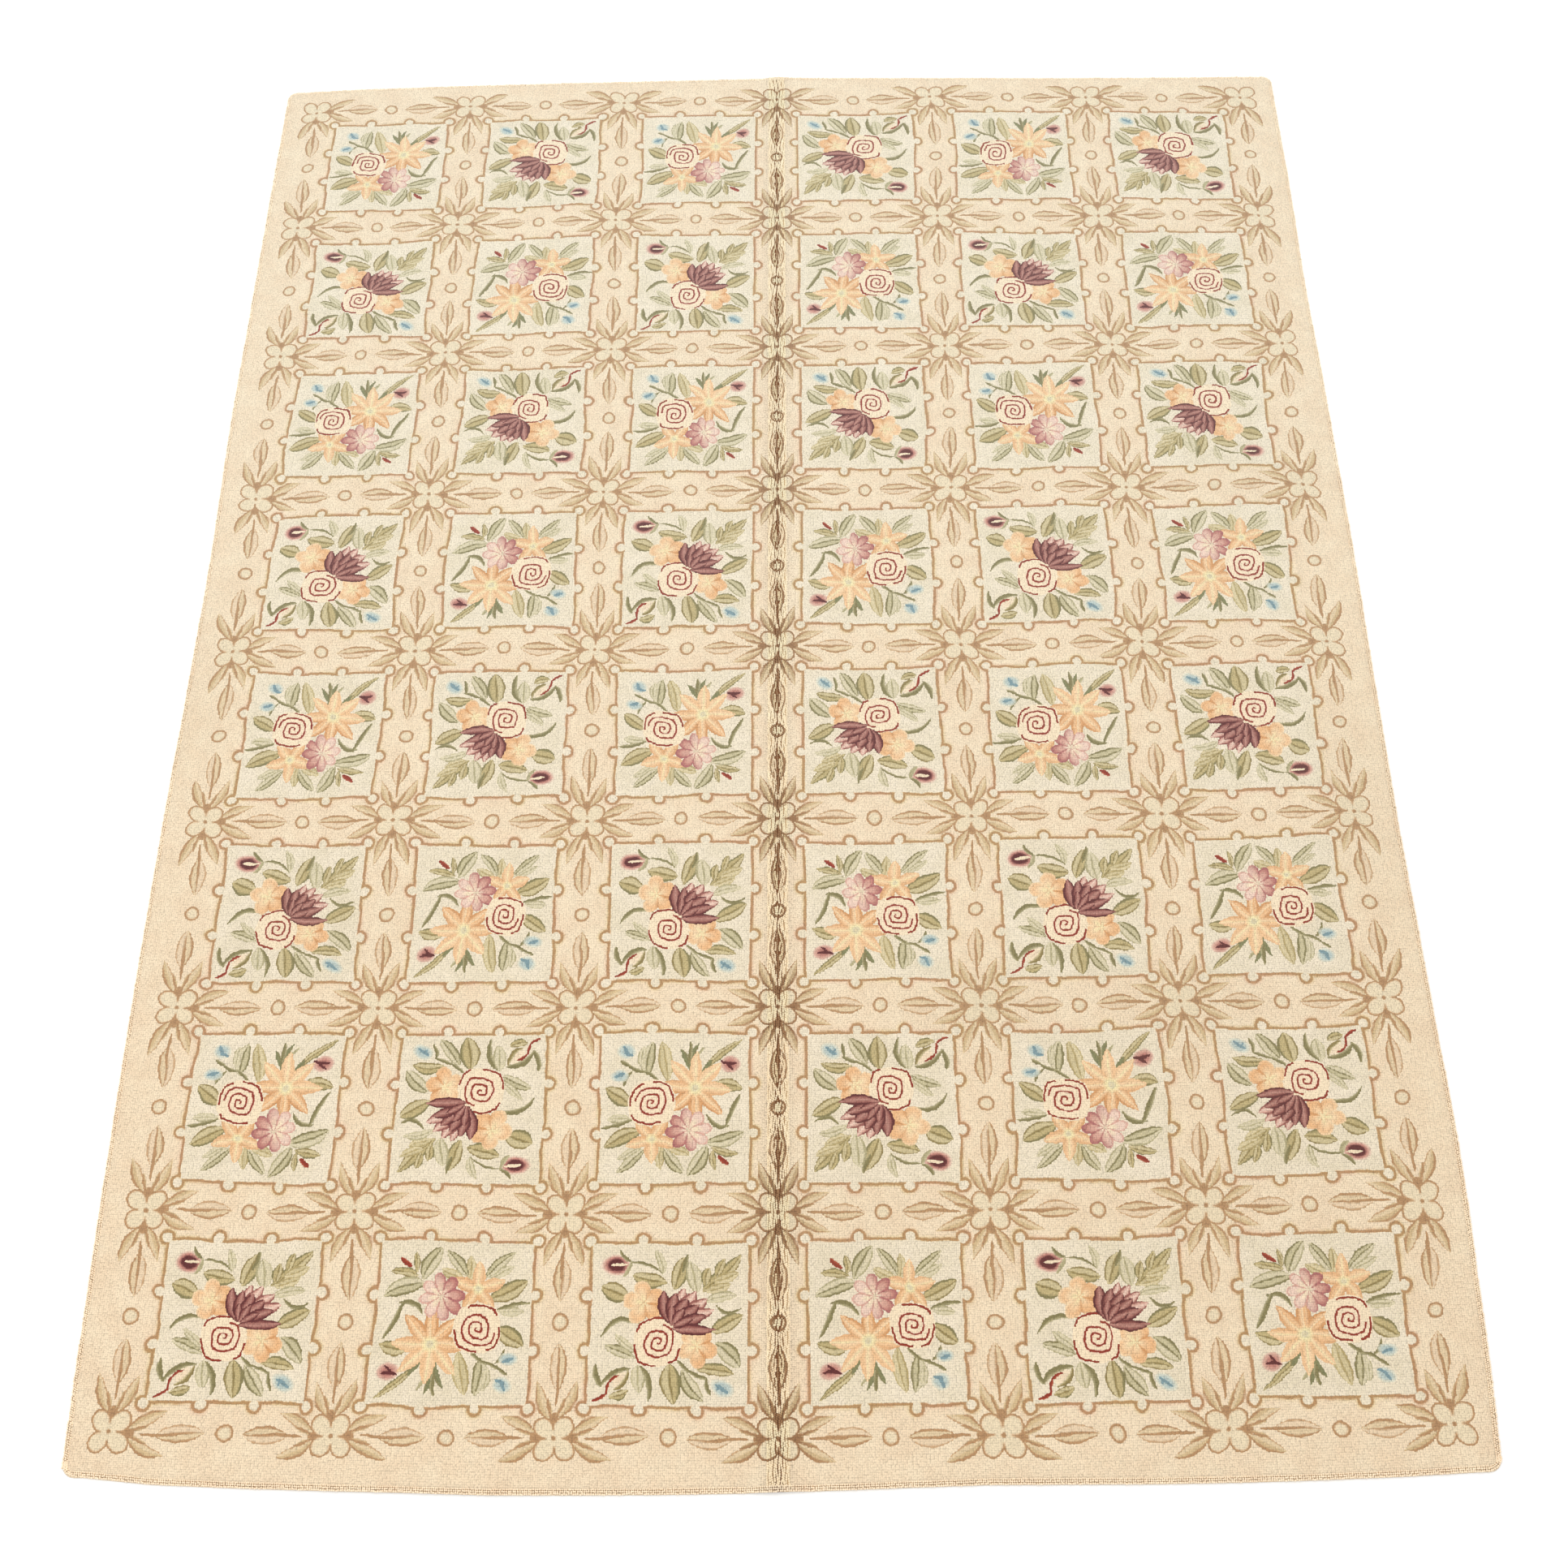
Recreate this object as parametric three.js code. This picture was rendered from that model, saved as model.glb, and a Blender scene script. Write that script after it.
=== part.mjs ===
// A hooked wool rug, 2.76 m wide and 3.67 m long, lying flat on the floor with its pile up.
// Millimetres, +Z up. +X is the right side and +Y the far end. The origin is under the middle, on the floor.
import * as THREE from 'three';
import { mergeVertices } from 'three/addons/utils/BufferGeometryUtils.js';

// Driving dimensions
const PILE_TOP = 9; // foundation cloth and hooked loops together
const CORNER_RADIUS = 26;

// The edge is rounded over in section: how far each level of the rim stands in from the outline, and its height.
const RIM_LEVELS = [
  { inset: 1.2, height: 0 },
  { inset: 0, height: 0.35 * PILE_TOP },
  { inset: 0.9, height: 0.72 * PILE_TOP },
  { inset: 3.6, height: 0.94 * PILE_TOP },
];
const RIM_SHOULDER = 11; // from the outline to where the pile reaches its full height

// The long sides wander a little: how far each reaches from the middle line, at places from near to far.
const SIDE_STATIONS = [
  { at: -1790, left: 1369, right: 1360 },
  { at: -1550, left: 1375, right: 1373 },
  { at: -1210, left: 1379, right: 1381 },
  { at: -850, left: 1381, right: 1374 },
  { at: -450, left: 1379, right: 1368 },
  { at: -50, left: 1372, right: 1369 },
  { at: 250, left: 1368, right: 1371 },
  { at: 700, left: 1373, right: 1368 },
  { at: 1100, left: 1369, right: 1362 },
  { at: 1400, left: 1366, right: 1365 },
  { at: 1800, left: 1361, right: 1362 },
];

// The two ends bow outwards: how far each reaches from the middle, at places from left to right.
const END_STATIONS = [
  { at: -1365, near: 1799, far: 1810 },
  { at: -1180, near: 1815, far: 1819 },
  { at: -900, near: 1827, far: 1827 },
  { at: -500, near: 1837, far: 1832 },
  { at: -150, near: 1837, far: 1835 },
  { at: 50, near: 1832, far: 1837 },
  { at: 400, near: 1822, far: 1829 },
  { at: 750, near: 1822, far: 1820 },
  { at: 1050, near: 1816, far: 1816 },
  { at: 1365, near: 1802, far: 1813 },
];

// The rug was kept folded in half, and has a low soft ridge where the fold ran, from end to end.
const RIDGE = { x: -2, height: 4.5, halfWidth: 62, sway: 4, swayLength: 1450 };
const RIDGE_STATIONS = [-1, -0.62, -0.3, 0, 0.3, 0.62, 1].map((t) => RIDGE.x + t * RIDGE.halfWidth);

// Shallow rises where the cloth doesn't lie quite flat: centre, half extents and height.
const RISES = [
  { x: -1290, y: 520, halfX: 260, halfY: 420, height: 2.2 },
  { x: 1300, y: -640, halfX: 240, halfY: 460, height: 2.4 },
  { x: 640, y: 1730, halfX: 420, halfY: 210, height: 1.8 },
  { x: -700, y: -1750, halfX: 330, halfY: 220, height: 2 },
];

// The grid that the cloth is bent from: its half sizes before the outline is laid on it, and its plain step.
const HALF_WIDTH = 1370;
const HALF_LENGTH = 1825;
const GRID_STEP = 160;

/** One column of a table at a place between its stations, eased from station to station. */
function tableValue(table, column, place) {
  const next = table.findIndex((row) => row.at >= place);
  if (next === 0) return table[0][column];
  if (next < 0) return table[table.length - 1][column];
  const before = table[next - 1];
  const after = table[next];
  const share = THREE.MathUtils.smoothstep(place, before.at, after.at);
  return THREE.MathUtils.lerp(before[column], after[column], share);
}

/** A smooth bell, 1 in the middle and 0 from the distance 1 on. */
function bell(distance) {
  return (1 - Math.min(Math.abs(distance), 1) ** 2) ** 2;
}

/** How far the cloth is lifted off the floor at a place: by the ridge and by the shallow rises. */
function liftAt(x, y) {
  const crest = RIDGE.x + RIDGE.sway * Math.sin((2 * Math.PI * y) / RIDGE.swayLength);
  const ridge = RIDGE.height * bell((x - crest) / RIDGE.halfWidth);
  const heights = RISES.map((rise) => rise.height * bell(Math.hypot((x - rise.x) / rise.halfX, (y - rise.y) / rise.halfY)));
  return heights.reduce((sum, height) => sum + height, ridge);
}

/** Stations from one edge to the other: close at the rims, even between, with the extra ones that are named. */
function stations(reach, extra) {
  const inner = reach - CORNER_RADIUS;
  const rim = [0, RIM_SHOULDER, 0.65 * CORNER_RADIUS, CORNER_RADIUS].map((inset) => reach - inset);
  const count = Math.round((2 * inner) / GRID_STEP);
  const even = Array.from({ length: count - 1 }, (_, i) => -inner + (2 * inner * (i + 1)) / count);
  const clear = even.filter((place) => extra.every((other) => Math.abs(other - place) > 0.2 * GRID_STEP));
  return [...rim, ...rim.map((place) => -place), ...clear, ...extra].sort((a, b) => a - b);
}

/** Lays a point of the flat grid on the outline: first its curves, less the inset, and then its round corners. */
function outlinePoint(x, y, inset) {
  const reachX = tableValue(SIDE_STATIONS, x < 0 ? 'left' : 'right', y) - inset;
  const reachY = tableValue(END_STATIONS, y < 0 ? 'near' : 'far', x) - inset;
  const outX = (Math.abs(x) / HALF_WIDTH) * reachX;
  const outY = (Math.abs(y) / HALF_LENGTH) * reachY;
  const pastX = Math.max(0, outX - (reachX - CORNER_RADIUS));
  const pastY = Math.max(0, outY - (reachY - CORNER_RADIUS));
  const inCorner = pastX > 0 && pastY > 0;
  const pull = inCorner ? 1 - Math.max(pastX, pastY) / Math.hypot(pastX, pastY) : 0;
  return { x: Math.sign(x) * (outX - pastX * pull), y: Math.sign(y) * (outY - pastY * pull) };
}

/** The rug's one solid: a boxed grid laid on the outline, the rim's rounded section and the lifted cloth. */
function rugGeometry() {
  const columns = stations(HALF_WIDTH, RIDGE_STATIONS);
  const rows = stations(HALF_LENGTH, []);
  const across = columns.length - 1;
  const along = rows.length - 1;
  const up = RIM_LEVELS.length - 1;
  const box = new THREE.BoxGeometry(across, along, up, across, along, up);
  box.deleteAttribute('normal');
  box.deleteAttribute('uv');
  const geometry = mergeVertices(box);
  const points = geometry.attributes.position;
  for (let i = 0; i < points.count; i += 1) {
    const column = Math.round(points.getX(i) + across / 2);
    const row = Math.round(points.getY(i) + along / 2);
    const level = RIM_LEVELS[Math.round(points.getZ(i) + up / 2)];
    const onRim = column % across === 0 || row % along === 0;
    const height = onRim || level.height === 0 ? level.height : PILE_TOP;
    const point = outlinePoint(columns[column], rows[row], onRim ? level.inset : 0);
    points.setXYZ(i, point.x, point.y, height + liftAt(point.x, point.y));
  }
  return geometry;
}

const woolPile = new THREE.MeshStandardMaterial({ name: 'wool_pile', color: 0xf6e4c8, roughness: 0.95, metalness: 0 });

const rug = new THREE.Mesh(rugGeometry(), woolPile);
rug.name = 'rug';

const hookedRug = new THREE.Group();
hookedRug.add(rug);

export default hookedRug;
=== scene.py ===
"""The looks of a hooked wool rug: its cloth, its looped pile and its trellis of flower panels.

Meshes are in metres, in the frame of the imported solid. The pattern is laid out in millimetres from the
middle of the trellis, x to the right and y to the far end, and the cloth's "Design" UV map carries those
places to its materials.
"""

import logging
import math
from collections.abc import Callable, Mapping, Sequence
from dataclasses import dataclass
from enum import Enum, IntEnum
from functools import cached_property
from typing import ClassVar, Union

import bpy
import numpy as np
from mathutils import Matrix, Vector
from mathutils.bvhtree import BVHTree


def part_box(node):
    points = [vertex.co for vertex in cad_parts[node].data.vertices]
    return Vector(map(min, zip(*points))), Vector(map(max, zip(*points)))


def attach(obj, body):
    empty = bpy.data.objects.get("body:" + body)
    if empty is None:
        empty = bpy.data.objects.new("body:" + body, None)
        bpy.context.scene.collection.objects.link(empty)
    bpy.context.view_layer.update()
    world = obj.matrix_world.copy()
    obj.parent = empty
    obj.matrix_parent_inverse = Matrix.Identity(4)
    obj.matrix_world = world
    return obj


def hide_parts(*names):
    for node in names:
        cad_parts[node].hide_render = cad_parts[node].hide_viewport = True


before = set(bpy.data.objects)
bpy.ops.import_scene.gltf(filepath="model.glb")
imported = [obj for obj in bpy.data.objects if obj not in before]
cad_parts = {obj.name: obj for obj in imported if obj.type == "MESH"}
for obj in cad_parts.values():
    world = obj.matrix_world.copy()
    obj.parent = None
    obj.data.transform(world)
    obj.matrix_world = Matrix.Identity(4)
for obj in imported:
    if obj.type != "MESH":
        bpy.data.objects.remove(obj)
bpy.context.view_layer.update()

MM = 0.001
RUG_NODE = "rug"
DESIGN_MAP = "Design"
BAKE_MAP = "OFBake"
# the mesh attribute that says how far each point takes the duller patches' grey-tan
PATCHINESS = "patchiness"
LOOP_PLACE = "loop_place"
LOOP_FLOOR = "loop_floor"
LOOP_CHANCE = "loop_chance"
LOOP_HEADING = "heading"
LOOP_SIZE = "size"
LIGHT_ON_FLOOR = 1.13  # how brightly the studio lights a white floor, which the yarns' colours allow for
FULL_TURN = 2 * math.pi

Socket = bpy.types.NodeSocket
NodeTree = bpy.types.NodeTree
Outputs = bpy.types.NodeOutputs
Feeds = Sequence[object] | Mapping[object, object]
Pair = tuple[float, float]
Triple = tuple[float, float, float]
Colour = tuple[float, float, float, float]
Array = np.ndarray
Mesh = bpy.types.Mesh
Piece = bpy.types.Object


# Writing node trees


def worked_out(operation: str, swapped: bool = False) -> "Callable[..., Num]":
    """Makes an operator of Num from a math node's operation."""

    def operator(number: "Num", *others: "Value") -> "Num":
        """Works out the new number."""
        values = (*others, number) if swapped else (number, *others)
        return number.graph.math(operation, *values)

    return operator


@dataclass(frozen=True, eq=False)
class Num:
    """A number that changes over the surface: one output of a node, with the arithmetic that joins it on.

    A quotient is 0 where its divisor is 0, and a comparison gives 1 or 0.
    """

    graph: "Graph"
    socket: Socket
    __add__ = worked_out("ADD")
    __sub__ = worked_out("SUBTRACT")
    __rsub__ = worked_out("SUBTRACT", swapped=True)
    __mul__ = worked_out("MULTIPLY")
    __truediv__ = worked_out("DIVIDE")
    __gt__ = worked_out("GREATER_THAN")
    __lt__ = worked_out("LESS_THAN")
    __abs__ = worked_out("ABSOLUTE")


Value = Union[Num, float]


class Graph:
    """Writes one node tree, a material's or a group's, in the order in which its values are worked out."""

    def __init__(self, tree: NodeTree) -> None:
        """Starts on a tree that may already hold nodes."""
        self.tree = tree

    @cached_property
    def given(self) -> Outputs:
        """What the group is given, by the inputs' names."""
        return self.node("NodeGroupInput").outputs

    def number(self, name: str) -> Num:
        """A number that the group is given."""
        return Num(self, self.given[name])

    def place_from(self, name: str) -> Socket:
        """The given place, from another point that is given."""
        return self.vector("SUBTRACT", self.given["Place"], self.given[name])

    def node(self, kind: str, **settings: object) -> bpy.types.Node:
        """Adds a node.

        Args:
            kind: the node's type name.
            settings: its properties.
        Returns:
            The node.
        """
        node = self.tree.nodes.new(kind)
        for name, value in settings.items():
            setattr(node, name, value)
        return node

    def put(self, socket: Socket, value: object) -> None:
        """Feeds one input.

        Args:
            socket: the input.
            value: a number or an output to link to it, or the value or dye that it keeps.
        """
        if isinstance(value, Num):
            value = value.socket
        if isinstance(value, bpy.types.NodeSocket):
            self.tree.links.new(value, socket)
        else:
            socket.default_value = value.light() if isinstance(value, Dye) else value

    def fill(self, node: bpy.types.Node, values: Feeds) -> bpy.types.Node:
        """Feeds a node's inputs.

        Args:
            node: the node.
            values: what feeds each input, in order, or by the inputs' names or numbers.
        Returns:
            The same node.
        """
        pairs = values.items() if isinstance(values, Mapping) else enumerate(values)
        for key, value in pairs:
            self.put(node.inputs[key], value)
        return node

    def math(self, operation: str, *values: Value) -> Num:
        """Works out a number from up to three others."""
        node = self.fill(self.node("ShaderNodeMath", operation=operation), values)
        return Num(self, node.outputs[0])

    def scaled_sum(self, value: Value, factor: Value, term: Value) -> Num:
        """value times factor, plus term."""
        return self.math("MULTIPLY_ADD", value, factor, term)

    def vector(self, operation: str, *values: object) -> Socket:
        """Works out a vector from others."""
        node = self.fill(self.node("ShaderNodeVectorMath", operation=operation), values)
        return node.outputs["Vector"]

    def scale(self, vector: object, factor: Value) -> Socket:
        """Multiplies a vector, or a colour, by a number."""
        node = self.node("ShaderNodeVectorMath", operation="SCALE")
        return self.fill(node, {0: vector, "Scale": factor}).outputs["Vector"]

    def measure(self, operation: str, *values: object) -> Num:
        """Works out a number from vectors."""
        node = self.fill(self.node("ShaderNodeVectorMath", operation=operation), values)
        return Num(self, node.outputs["Value"])

    def parts(self, vector: Socket) -> tuple[Num, Num]:
        """Splits a vector."""
        node = self.fill(self.node("ShaderNodeSeparateXYZ"), (vector,))
        return Num(self, node.outputs[0]), Num(self, node.outputs[1])

    def join(self, x: Value, y: Value) -> Socket:
        """A flat vector of two numbers."""
        return self.fill(self.node("ShaderNodeCombineXYZ"), (x, y)).outputs[0]

    def mix(self, share: Value, under: object, over: object) -> Socket:
        """Lays one colour over another."""
        node = self.node("ShaderNodeMix", data_type="RGBA")
        return self.fill(node, {0: share, 6: under, 7: over}).outputs[2]

    def step(self, value: Value, start: float, end: float, low: float, high: float) -> Num:
        """Goes softly from one number to another, and stays level before and after."""
        node = self.node("ShaderNodeMapRange", interpolation_type="SMOOTHSTEP")
        return Num(self, self.fill(node, (value, start, end, low, high)).outputs[0])

    def choose(self, share: Value, low: Value, high: Value) -> Num:
        """Takes one of two numbers."""
        node = self.node("ShaderNodeMix", data_type="FLOAT")
        return Num(self, self.fill(node, {0: share, 2: low, 3: high}).outputs[0])

    def noise(
        self, place: Socket, size: float, detail: float, roughness: float = 0.5, lacunarity: float = 2.0
    ) -> Outputs:
        """Adds flat noise.

        Args:
            place: the place, in millimetres.
            size: how wide its widest patches are, in millimetres.
            detail: how many finer layers it has.
            roughness: how strong each finer layer is beside the one before.
            lacunarity: how much finer each layer is.
        Returns:
            The outputs Fac and Color.
        """
        node = self.node("ShaderNodeTexNoise", noise_dimensions="2D")
        settings = {"Scale": 1 / size, "Detail": detail, "Roughness": roughness, "Lacunarity": lacunarity}
        return self.fill(node, {"Vector": place, **settings}).outputs

    def attribute(self, name: str) -> Outputs:
        """The outputs of a mesh attribute."""
        return self.node("ShaderNodeAttribute", attribute_type="GEOMETRY", attribute_name=name).outputs

    def ramp(self, place: Value, bands: "Bands", stepped: bool = False) -> tuple[Socket, Num]:
        """Finds a colour and a cover in bands along a number, with a thin fade where they leave an end free.

        Args:
            place: the number, from 0 to 1.
            bands: the bands, in order.
            stepped: True where the bands have hard ends.
        Returns:
            The colour and the cover.
        """
        stops = [(at, band.dye, band.cover) for band in bands for at in band.ends()]
        before = [(0.0, stops[0][1], 0.0)] if stops[0][0] > 0 else []
        after = [(1.0, stops[-1][1], 0.0)] if stops[-1][0] < 1 else []
        stops = [*before, *stops, *after]
        node = self.fill(self.node("ShaderNodeValToRGB"), (place,))
        node.color_ramp.interpolation = "CONSTANT" if stepped else "LINEAR"
        elements = node.color_ramp.elements
        elements[0].position = stops[0][0]
        elements[1].position = stops[-1][0]
        for at, _, _ in stops[1:-1]:
            elements.new(at)
        for element, (_, dye, cover) in zip(elements, stops):
            element.color = (*dye.light()[:3], cover)
        return node.outputs[0], Num(self, node.outputs[1])


@dataclass(frozen=True)
class Sockets:
    """The names of a group's inputs or outputs, in the order vectors, numbers, colours."""

    vectors: tuple[str, ...] = ()
    numbers: tuple[str, ...] = ()
    colours: tuple[str, ...] = ()

    def add_to(self, tree: NodeTree, way: str) -> None:
        """Adds these inputs or outputs to a group.

        Args:
            tree: the group's tree.
            way: INPUT or OUTPUT.
        """
        kinds = {"Vector": self.vectors, "Float": self.numbers, "Color": self.colours}
        for kind, name in ((kind, name) for kind, names in kinds.items() for name in names):
            tree.interface.new_socket(name=name, in_out=way, socket_type=f"NodeSocket{kind}")


class Effect:
    """A shader group that is built once for its label and placed wherever the pattern needs it.

    Each effect names its inputs and outputs in takes and gives, and writes its own nodes.
    """

    takes: ClassVar[Sockets]
    gives: ClassVar[Sockets] = Sockets(colours=("Colour",))
    made: ClassVar[dict[str, NodeTree]] = {}

    @property
    def label(self) -> str:
        """The group's name: the effect's kind, with its own name where it has one."""
        return f"{type(self).__name__} {getattr(self, 'name', '')}".strip()

    def write(self, g: Graph) -> Sequence[object]:
        """Writes the group's nodes.

        Args:
            g: the group's graph.
        Returns:
            What feeds each output, in order.
        """
        raise NotImplementedError

    def group(self) -> NodeTree:
        """Builds the group the first time that it is asked for.

        Returns:
            The group's tree.
        """
        if self.label not in self.made:
            tree = bpy.data.node_groups.new(self.label, "ShaderNodeTree")
            self.takes.add_to(tree, "INPUT")
            self.gives.add_to(tree, "OUTPUT")
            g = Graph(tree)
            g.fill(g.node("NodeGroupOutput"), self.write(g))
            self.made[self.label] = tree
        return self.made[self.label]

    def place(self, g: Graph, *values: object) -> Outputs:
        """Places the group in another tree."""
        return g.fill(g.node("ShaderNodeGroup", node_tree=self.group()), values).outputs


# Yarns


@dataclass(frozen=True)
class Dye:
    """A colour of yarn as the lit rug shows it, from 0 to 255."""

    red: float
    green: float
    blue: float
    brightest: ClassVar[float] = 0.9

    def light(self) -> Colour:
        """Works out the share of light that the yarn sends back, by the sRGB curve.

        Returns:
            Red, green and blue from 0 to 1, and a whole cover.
        """
        seen = [value / 255 for value in (self.red, self.green, self.blue)]
        linear = [v / 12.92 if v <= 0.04045 else ((v + 0.055) / 1.055) ** 2.4 for v in seen]
        red, green, blue = (min(v / LIGHT_ON_FLOOR, self.brightest) for v in linear)
        return red, green, blue, 1.0


PEACH_CREAM = Dye(245, 224, 192)
PEACH_DEEP = Dye(240, 215, 182)
PANEL_CREAM = Dye(242, 227, 201)
PANEL_CREAM_DEEP = Dye(234, 219, 190)
TAN_LINE = Dye(186, 145, 104)
TAN_MID = Dye(202, 164, 124)
TAN_SOFT = Dye(222, 190, 152)
TAN_PALE = Dye(236, 210, 176)
TAN_DARK = Dye(176, 136, 98)
SPRAY_FILL = Dye(214, 186, 142)
SPRAY_PALE = Dye(230, 205, 166)
PETAL_CREAM = Dye(238, 219, 185)
GREEN_DARK = Dye(138, 128, 86)
GREEN_DEEP = Dye(136, 134, 94)
SAGE = Dye(180, 169, 129)
SAGE_GREY = Dye(204, 192, 153)
SAGE_PALE = Dye(222, 209, 175)
OLIVE_DARK = Dye(149, 131, 83)
OLIVE_MID = Dye(180, 160, 110)
OLIVE = Dye(196, 177, 127)
OLIVE_SOFT = Dye(211, 194, 150)
OLIVE_PALE = Dye(222, 205, 163)
ORANGE = Dye(241, 196, 149)
ORANGE_DEEP = Dye(214, 156, 104)
ORANGE_MID = Dye(237, 184, 132)
ORANGE_PALE = Dye(247, 215, 172)
BUTTER = Dye(244, 228, 176)
ROSE_CREAM = Dye(248, 226, 192)
ROSE_PINK = Dye(244, 206, 180)
ROSE_LINE = Dye(148, 58, 42)
PLUM_BLACK = Dye(102, 50, 49)
PLUM = Dye(152, 93, 84)
PLUM_SOFT = Dye(192, 140, 126)
MAUVE = Dye(198, 136, 122)
MAUVE_SOFT = Dye(217, 166, 148)
MAUVE_DEEP = Dye(176, 110, 106)
PINK_PALE = Dye(240, 208, 188)
BLUE = Dye(130, 155, 160)
BLUE_DULL = Dye(162, 180, 178)
BLUE_SOFT = Dye(190, 202, 194)
BLUE_PALE = Dye(219, 219, 199)
RED_BUD = Dye(176, 82, 56)
# The fold's brown: at the crest it stands partly for painted shade in the deep gaps between loops.
FOLD_BROWN = Dye(128, 84, 52)
FOLD_TAN = Dye(208, 180, 142)
BACK_CLOTH = Dye(214, 196, 160)
BACK_DULL = Dye(196, 174, 138)
BACK_THREAD = Dye(160, 138, 104)
# The pale tone that the far end of the pile is mixed towards.
FAR_PALE = Dye(255, 252, 242)
# The dull grey-tan of the darker patches.
PATCH_DULL = Dye(176, 160, 128)


@dataclass(frozen=True)
class Band:
    """A stretch of one yarn along a ramp, or a single place of it, and how far it covers what is under it."""

    dye: Dye
    start: float
    end: float | None = None
    cover: float = 1.0

    def ends(self) -> list[float]:
        """The band's two ends, or its one place."""
        return [self.start] if self.end is None else [self.start, self.end]


Bands = tuple[Band, ...]


# Ways of hooking a form


@dataclass(frozen=True)
class Hooking(Effect):
    """How a form is hooked: a named set of bands."""

    name: str
    bands: Bands


@dataclass(frozen=True)
class BladeHooking(Hooking):
    """How a leaf, petal or stem is hooked across its width, from its dark side at 0 to the other at 1.

    Along is its way over the square of its length, Across its side way over its half width, and Bend four
    times the bulge of its middle, in half widths.
    """

    fullness: float = 0.9
    thinnest: ClassVar[float] = 1e-8
    takes = Sockets(("Place", "Base", "Along", "Across"), numbers=("Bend",), colours=("Under",))

    def write(self, g: Graph) -> list[Socket]:
        """Writes the blade, whose half width swells and falls from the base to the tip.

        Args:
            g: the group's graph.
        Returns:
            The colour with the blade on it.
        """
        local = g.place_from("Base")
        u, v = (g.measure("DOT_PRODUCT", local, g.given[way]) for way in ("Along", "Across"))
        swell = u * (1.0 - u)
        off = g.scaled_sum(swell, g.number("Bend"), v)
        width = g.math("POWER", g.math("MAXIMUM", swell * 4.0, self.thinnest), self.fullness)
        colour, cover = g.ramp(g.scaled_sum(off / width, 0.5, 0.5), self.bands)
        return [g.mix(cover, g.given["Under"], colour)]


@dataclass(frozen=True)
class SpotHooking(Hooking):
    """How a round or oval patch is hooked, from its middle at 0 to its edge at 1.

    Along is its way over its half length, and Across its side way over its half width.
    """

    takes = Sockets(("Place", "Middle", "Along", "Across"), colours=("Under",))

    def write(self, g: Graph) -> list[Socket]:
        """Writes the patch, whose bands keep to a share of the radius.

        Args:
            g: the group's graph.
        Returns:
            The colour with the patch on it.
        """
        local = g.place_from("Middle")
        u, v = (g.measure("DOT_PRODUCT", local, g.given[way]) for way in ("Along", "Across"))
        colour, cover = g.ramp(g.math("SQRT", g.scaled_sum(u, u, v * v)), self.bands)
        return [g.mix(cover, g.given["Under"], colour)]


def leaf(
    name: str, edge: Dye, rib: Dye, fill: Dye, pale: Dye, rim: Dye, fullness: float = 0.76
) -> BladeHooking:
    """A leaf: a dark edge on one side, a rib in the middle, a paler half and a soft rim."""
    halves = (Band(edge, 0.02, 0.11), Band(fill, 0.2, 0.42), Band(rib, 0.48, 0.53), Band(pale, 0.62, 0.84))
    return BladeHooking(name, (*halves, Band(rim, 0.92, 0.97)), fullness)


def stroke(name: str, edge: Dye, fill: Dye, fullness: float = 0.5) -> BladeHooking:
    """A stem or a slip: much the same all over, darker on one side."""
    return BladeHooking(name, (Band(edge, 0.03, 0.5), Band(fill, 0.85)), fullness)


def petal(name: str, edge: Dye, fill: Dye, core: Dye) -> BladeHooking:
    """A petal: both edges dark and the middle pale."""
    halves = (Band(edge, 0.01, 0.14), Band(fill, 0.24), Band(core, 0.5))
    return BladeHooking(name, (*halves, Band(fill, 0.76), Band(edge, 0.86, 0.99)))


FLANK_HALF = (Band(TAN_LINE, 0.02, 0.2), Band(SPRAY_FILL, 0.3, 0.48))
FLANK_BANDS = (*FLANK_HALF, Band(SPRAY_PALE, 0.6, 0.84), Band(TAN_MID, 0.9, 0.98))
CROSSING_PETAL_BANDS = (Band(PETAL_CREAM, 0.0, 0.7), Band(TAN_SOFT, 0.8), Band(TAN_LINE, 0.86, 0.97))
RING_EDGE = (Band(TAN_LINE, 0.74, 0.9), Band(TAN_PALE, 1.0, cover=0.0))
RING_BANDS = (Band(PETAL_CREAM, 0.0, 0.5), Band(TAN_SOFT, 0.66), *RING_EDGE)
HEART_BANDS = (Band(TAN_DARK, 0.0), Band(TAN_LINE, 0.6, 0.85), Band(TAN_SOFT, 1.0, cover=0.0))
DOT_BANDS = (Band(TAN_DARK, 0.0), Band(TAN_LINE, 0.6), Band(TAN_SOFT, 1.0, cover=0.0))
CREAM_BANDS = (Band(PETAL_CREAM, 0.0, 0.7),)
PEACH_BANDS = (Band(PEACH_DEEP, 0.0), Band(PEACH_CREAM, 0.7))
BLUE_BANDS = (Band(BLUE_DULL, 0.0), Band(BLUE_SOFT, 0.4, 0.55), Band(BLUE_PALE, 0.85, cover=0.7))
BUD_EDGE = (Band(MAUVE_SOFT, 0.8, cover=0.8), Band(PINK_PALE, 1.0, cover=0.0))
SOFT_BUD_BANDS = (Band(PLUM, 0.0), Band(MAUVE, 0.45), *BUD_EDGE)
PLUM_BUD_BANDS = (Band(PLUM_BLACK, 0.0, 0.5), Band(MAUVE, 0.66), *BUD_EDGE)


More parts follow.
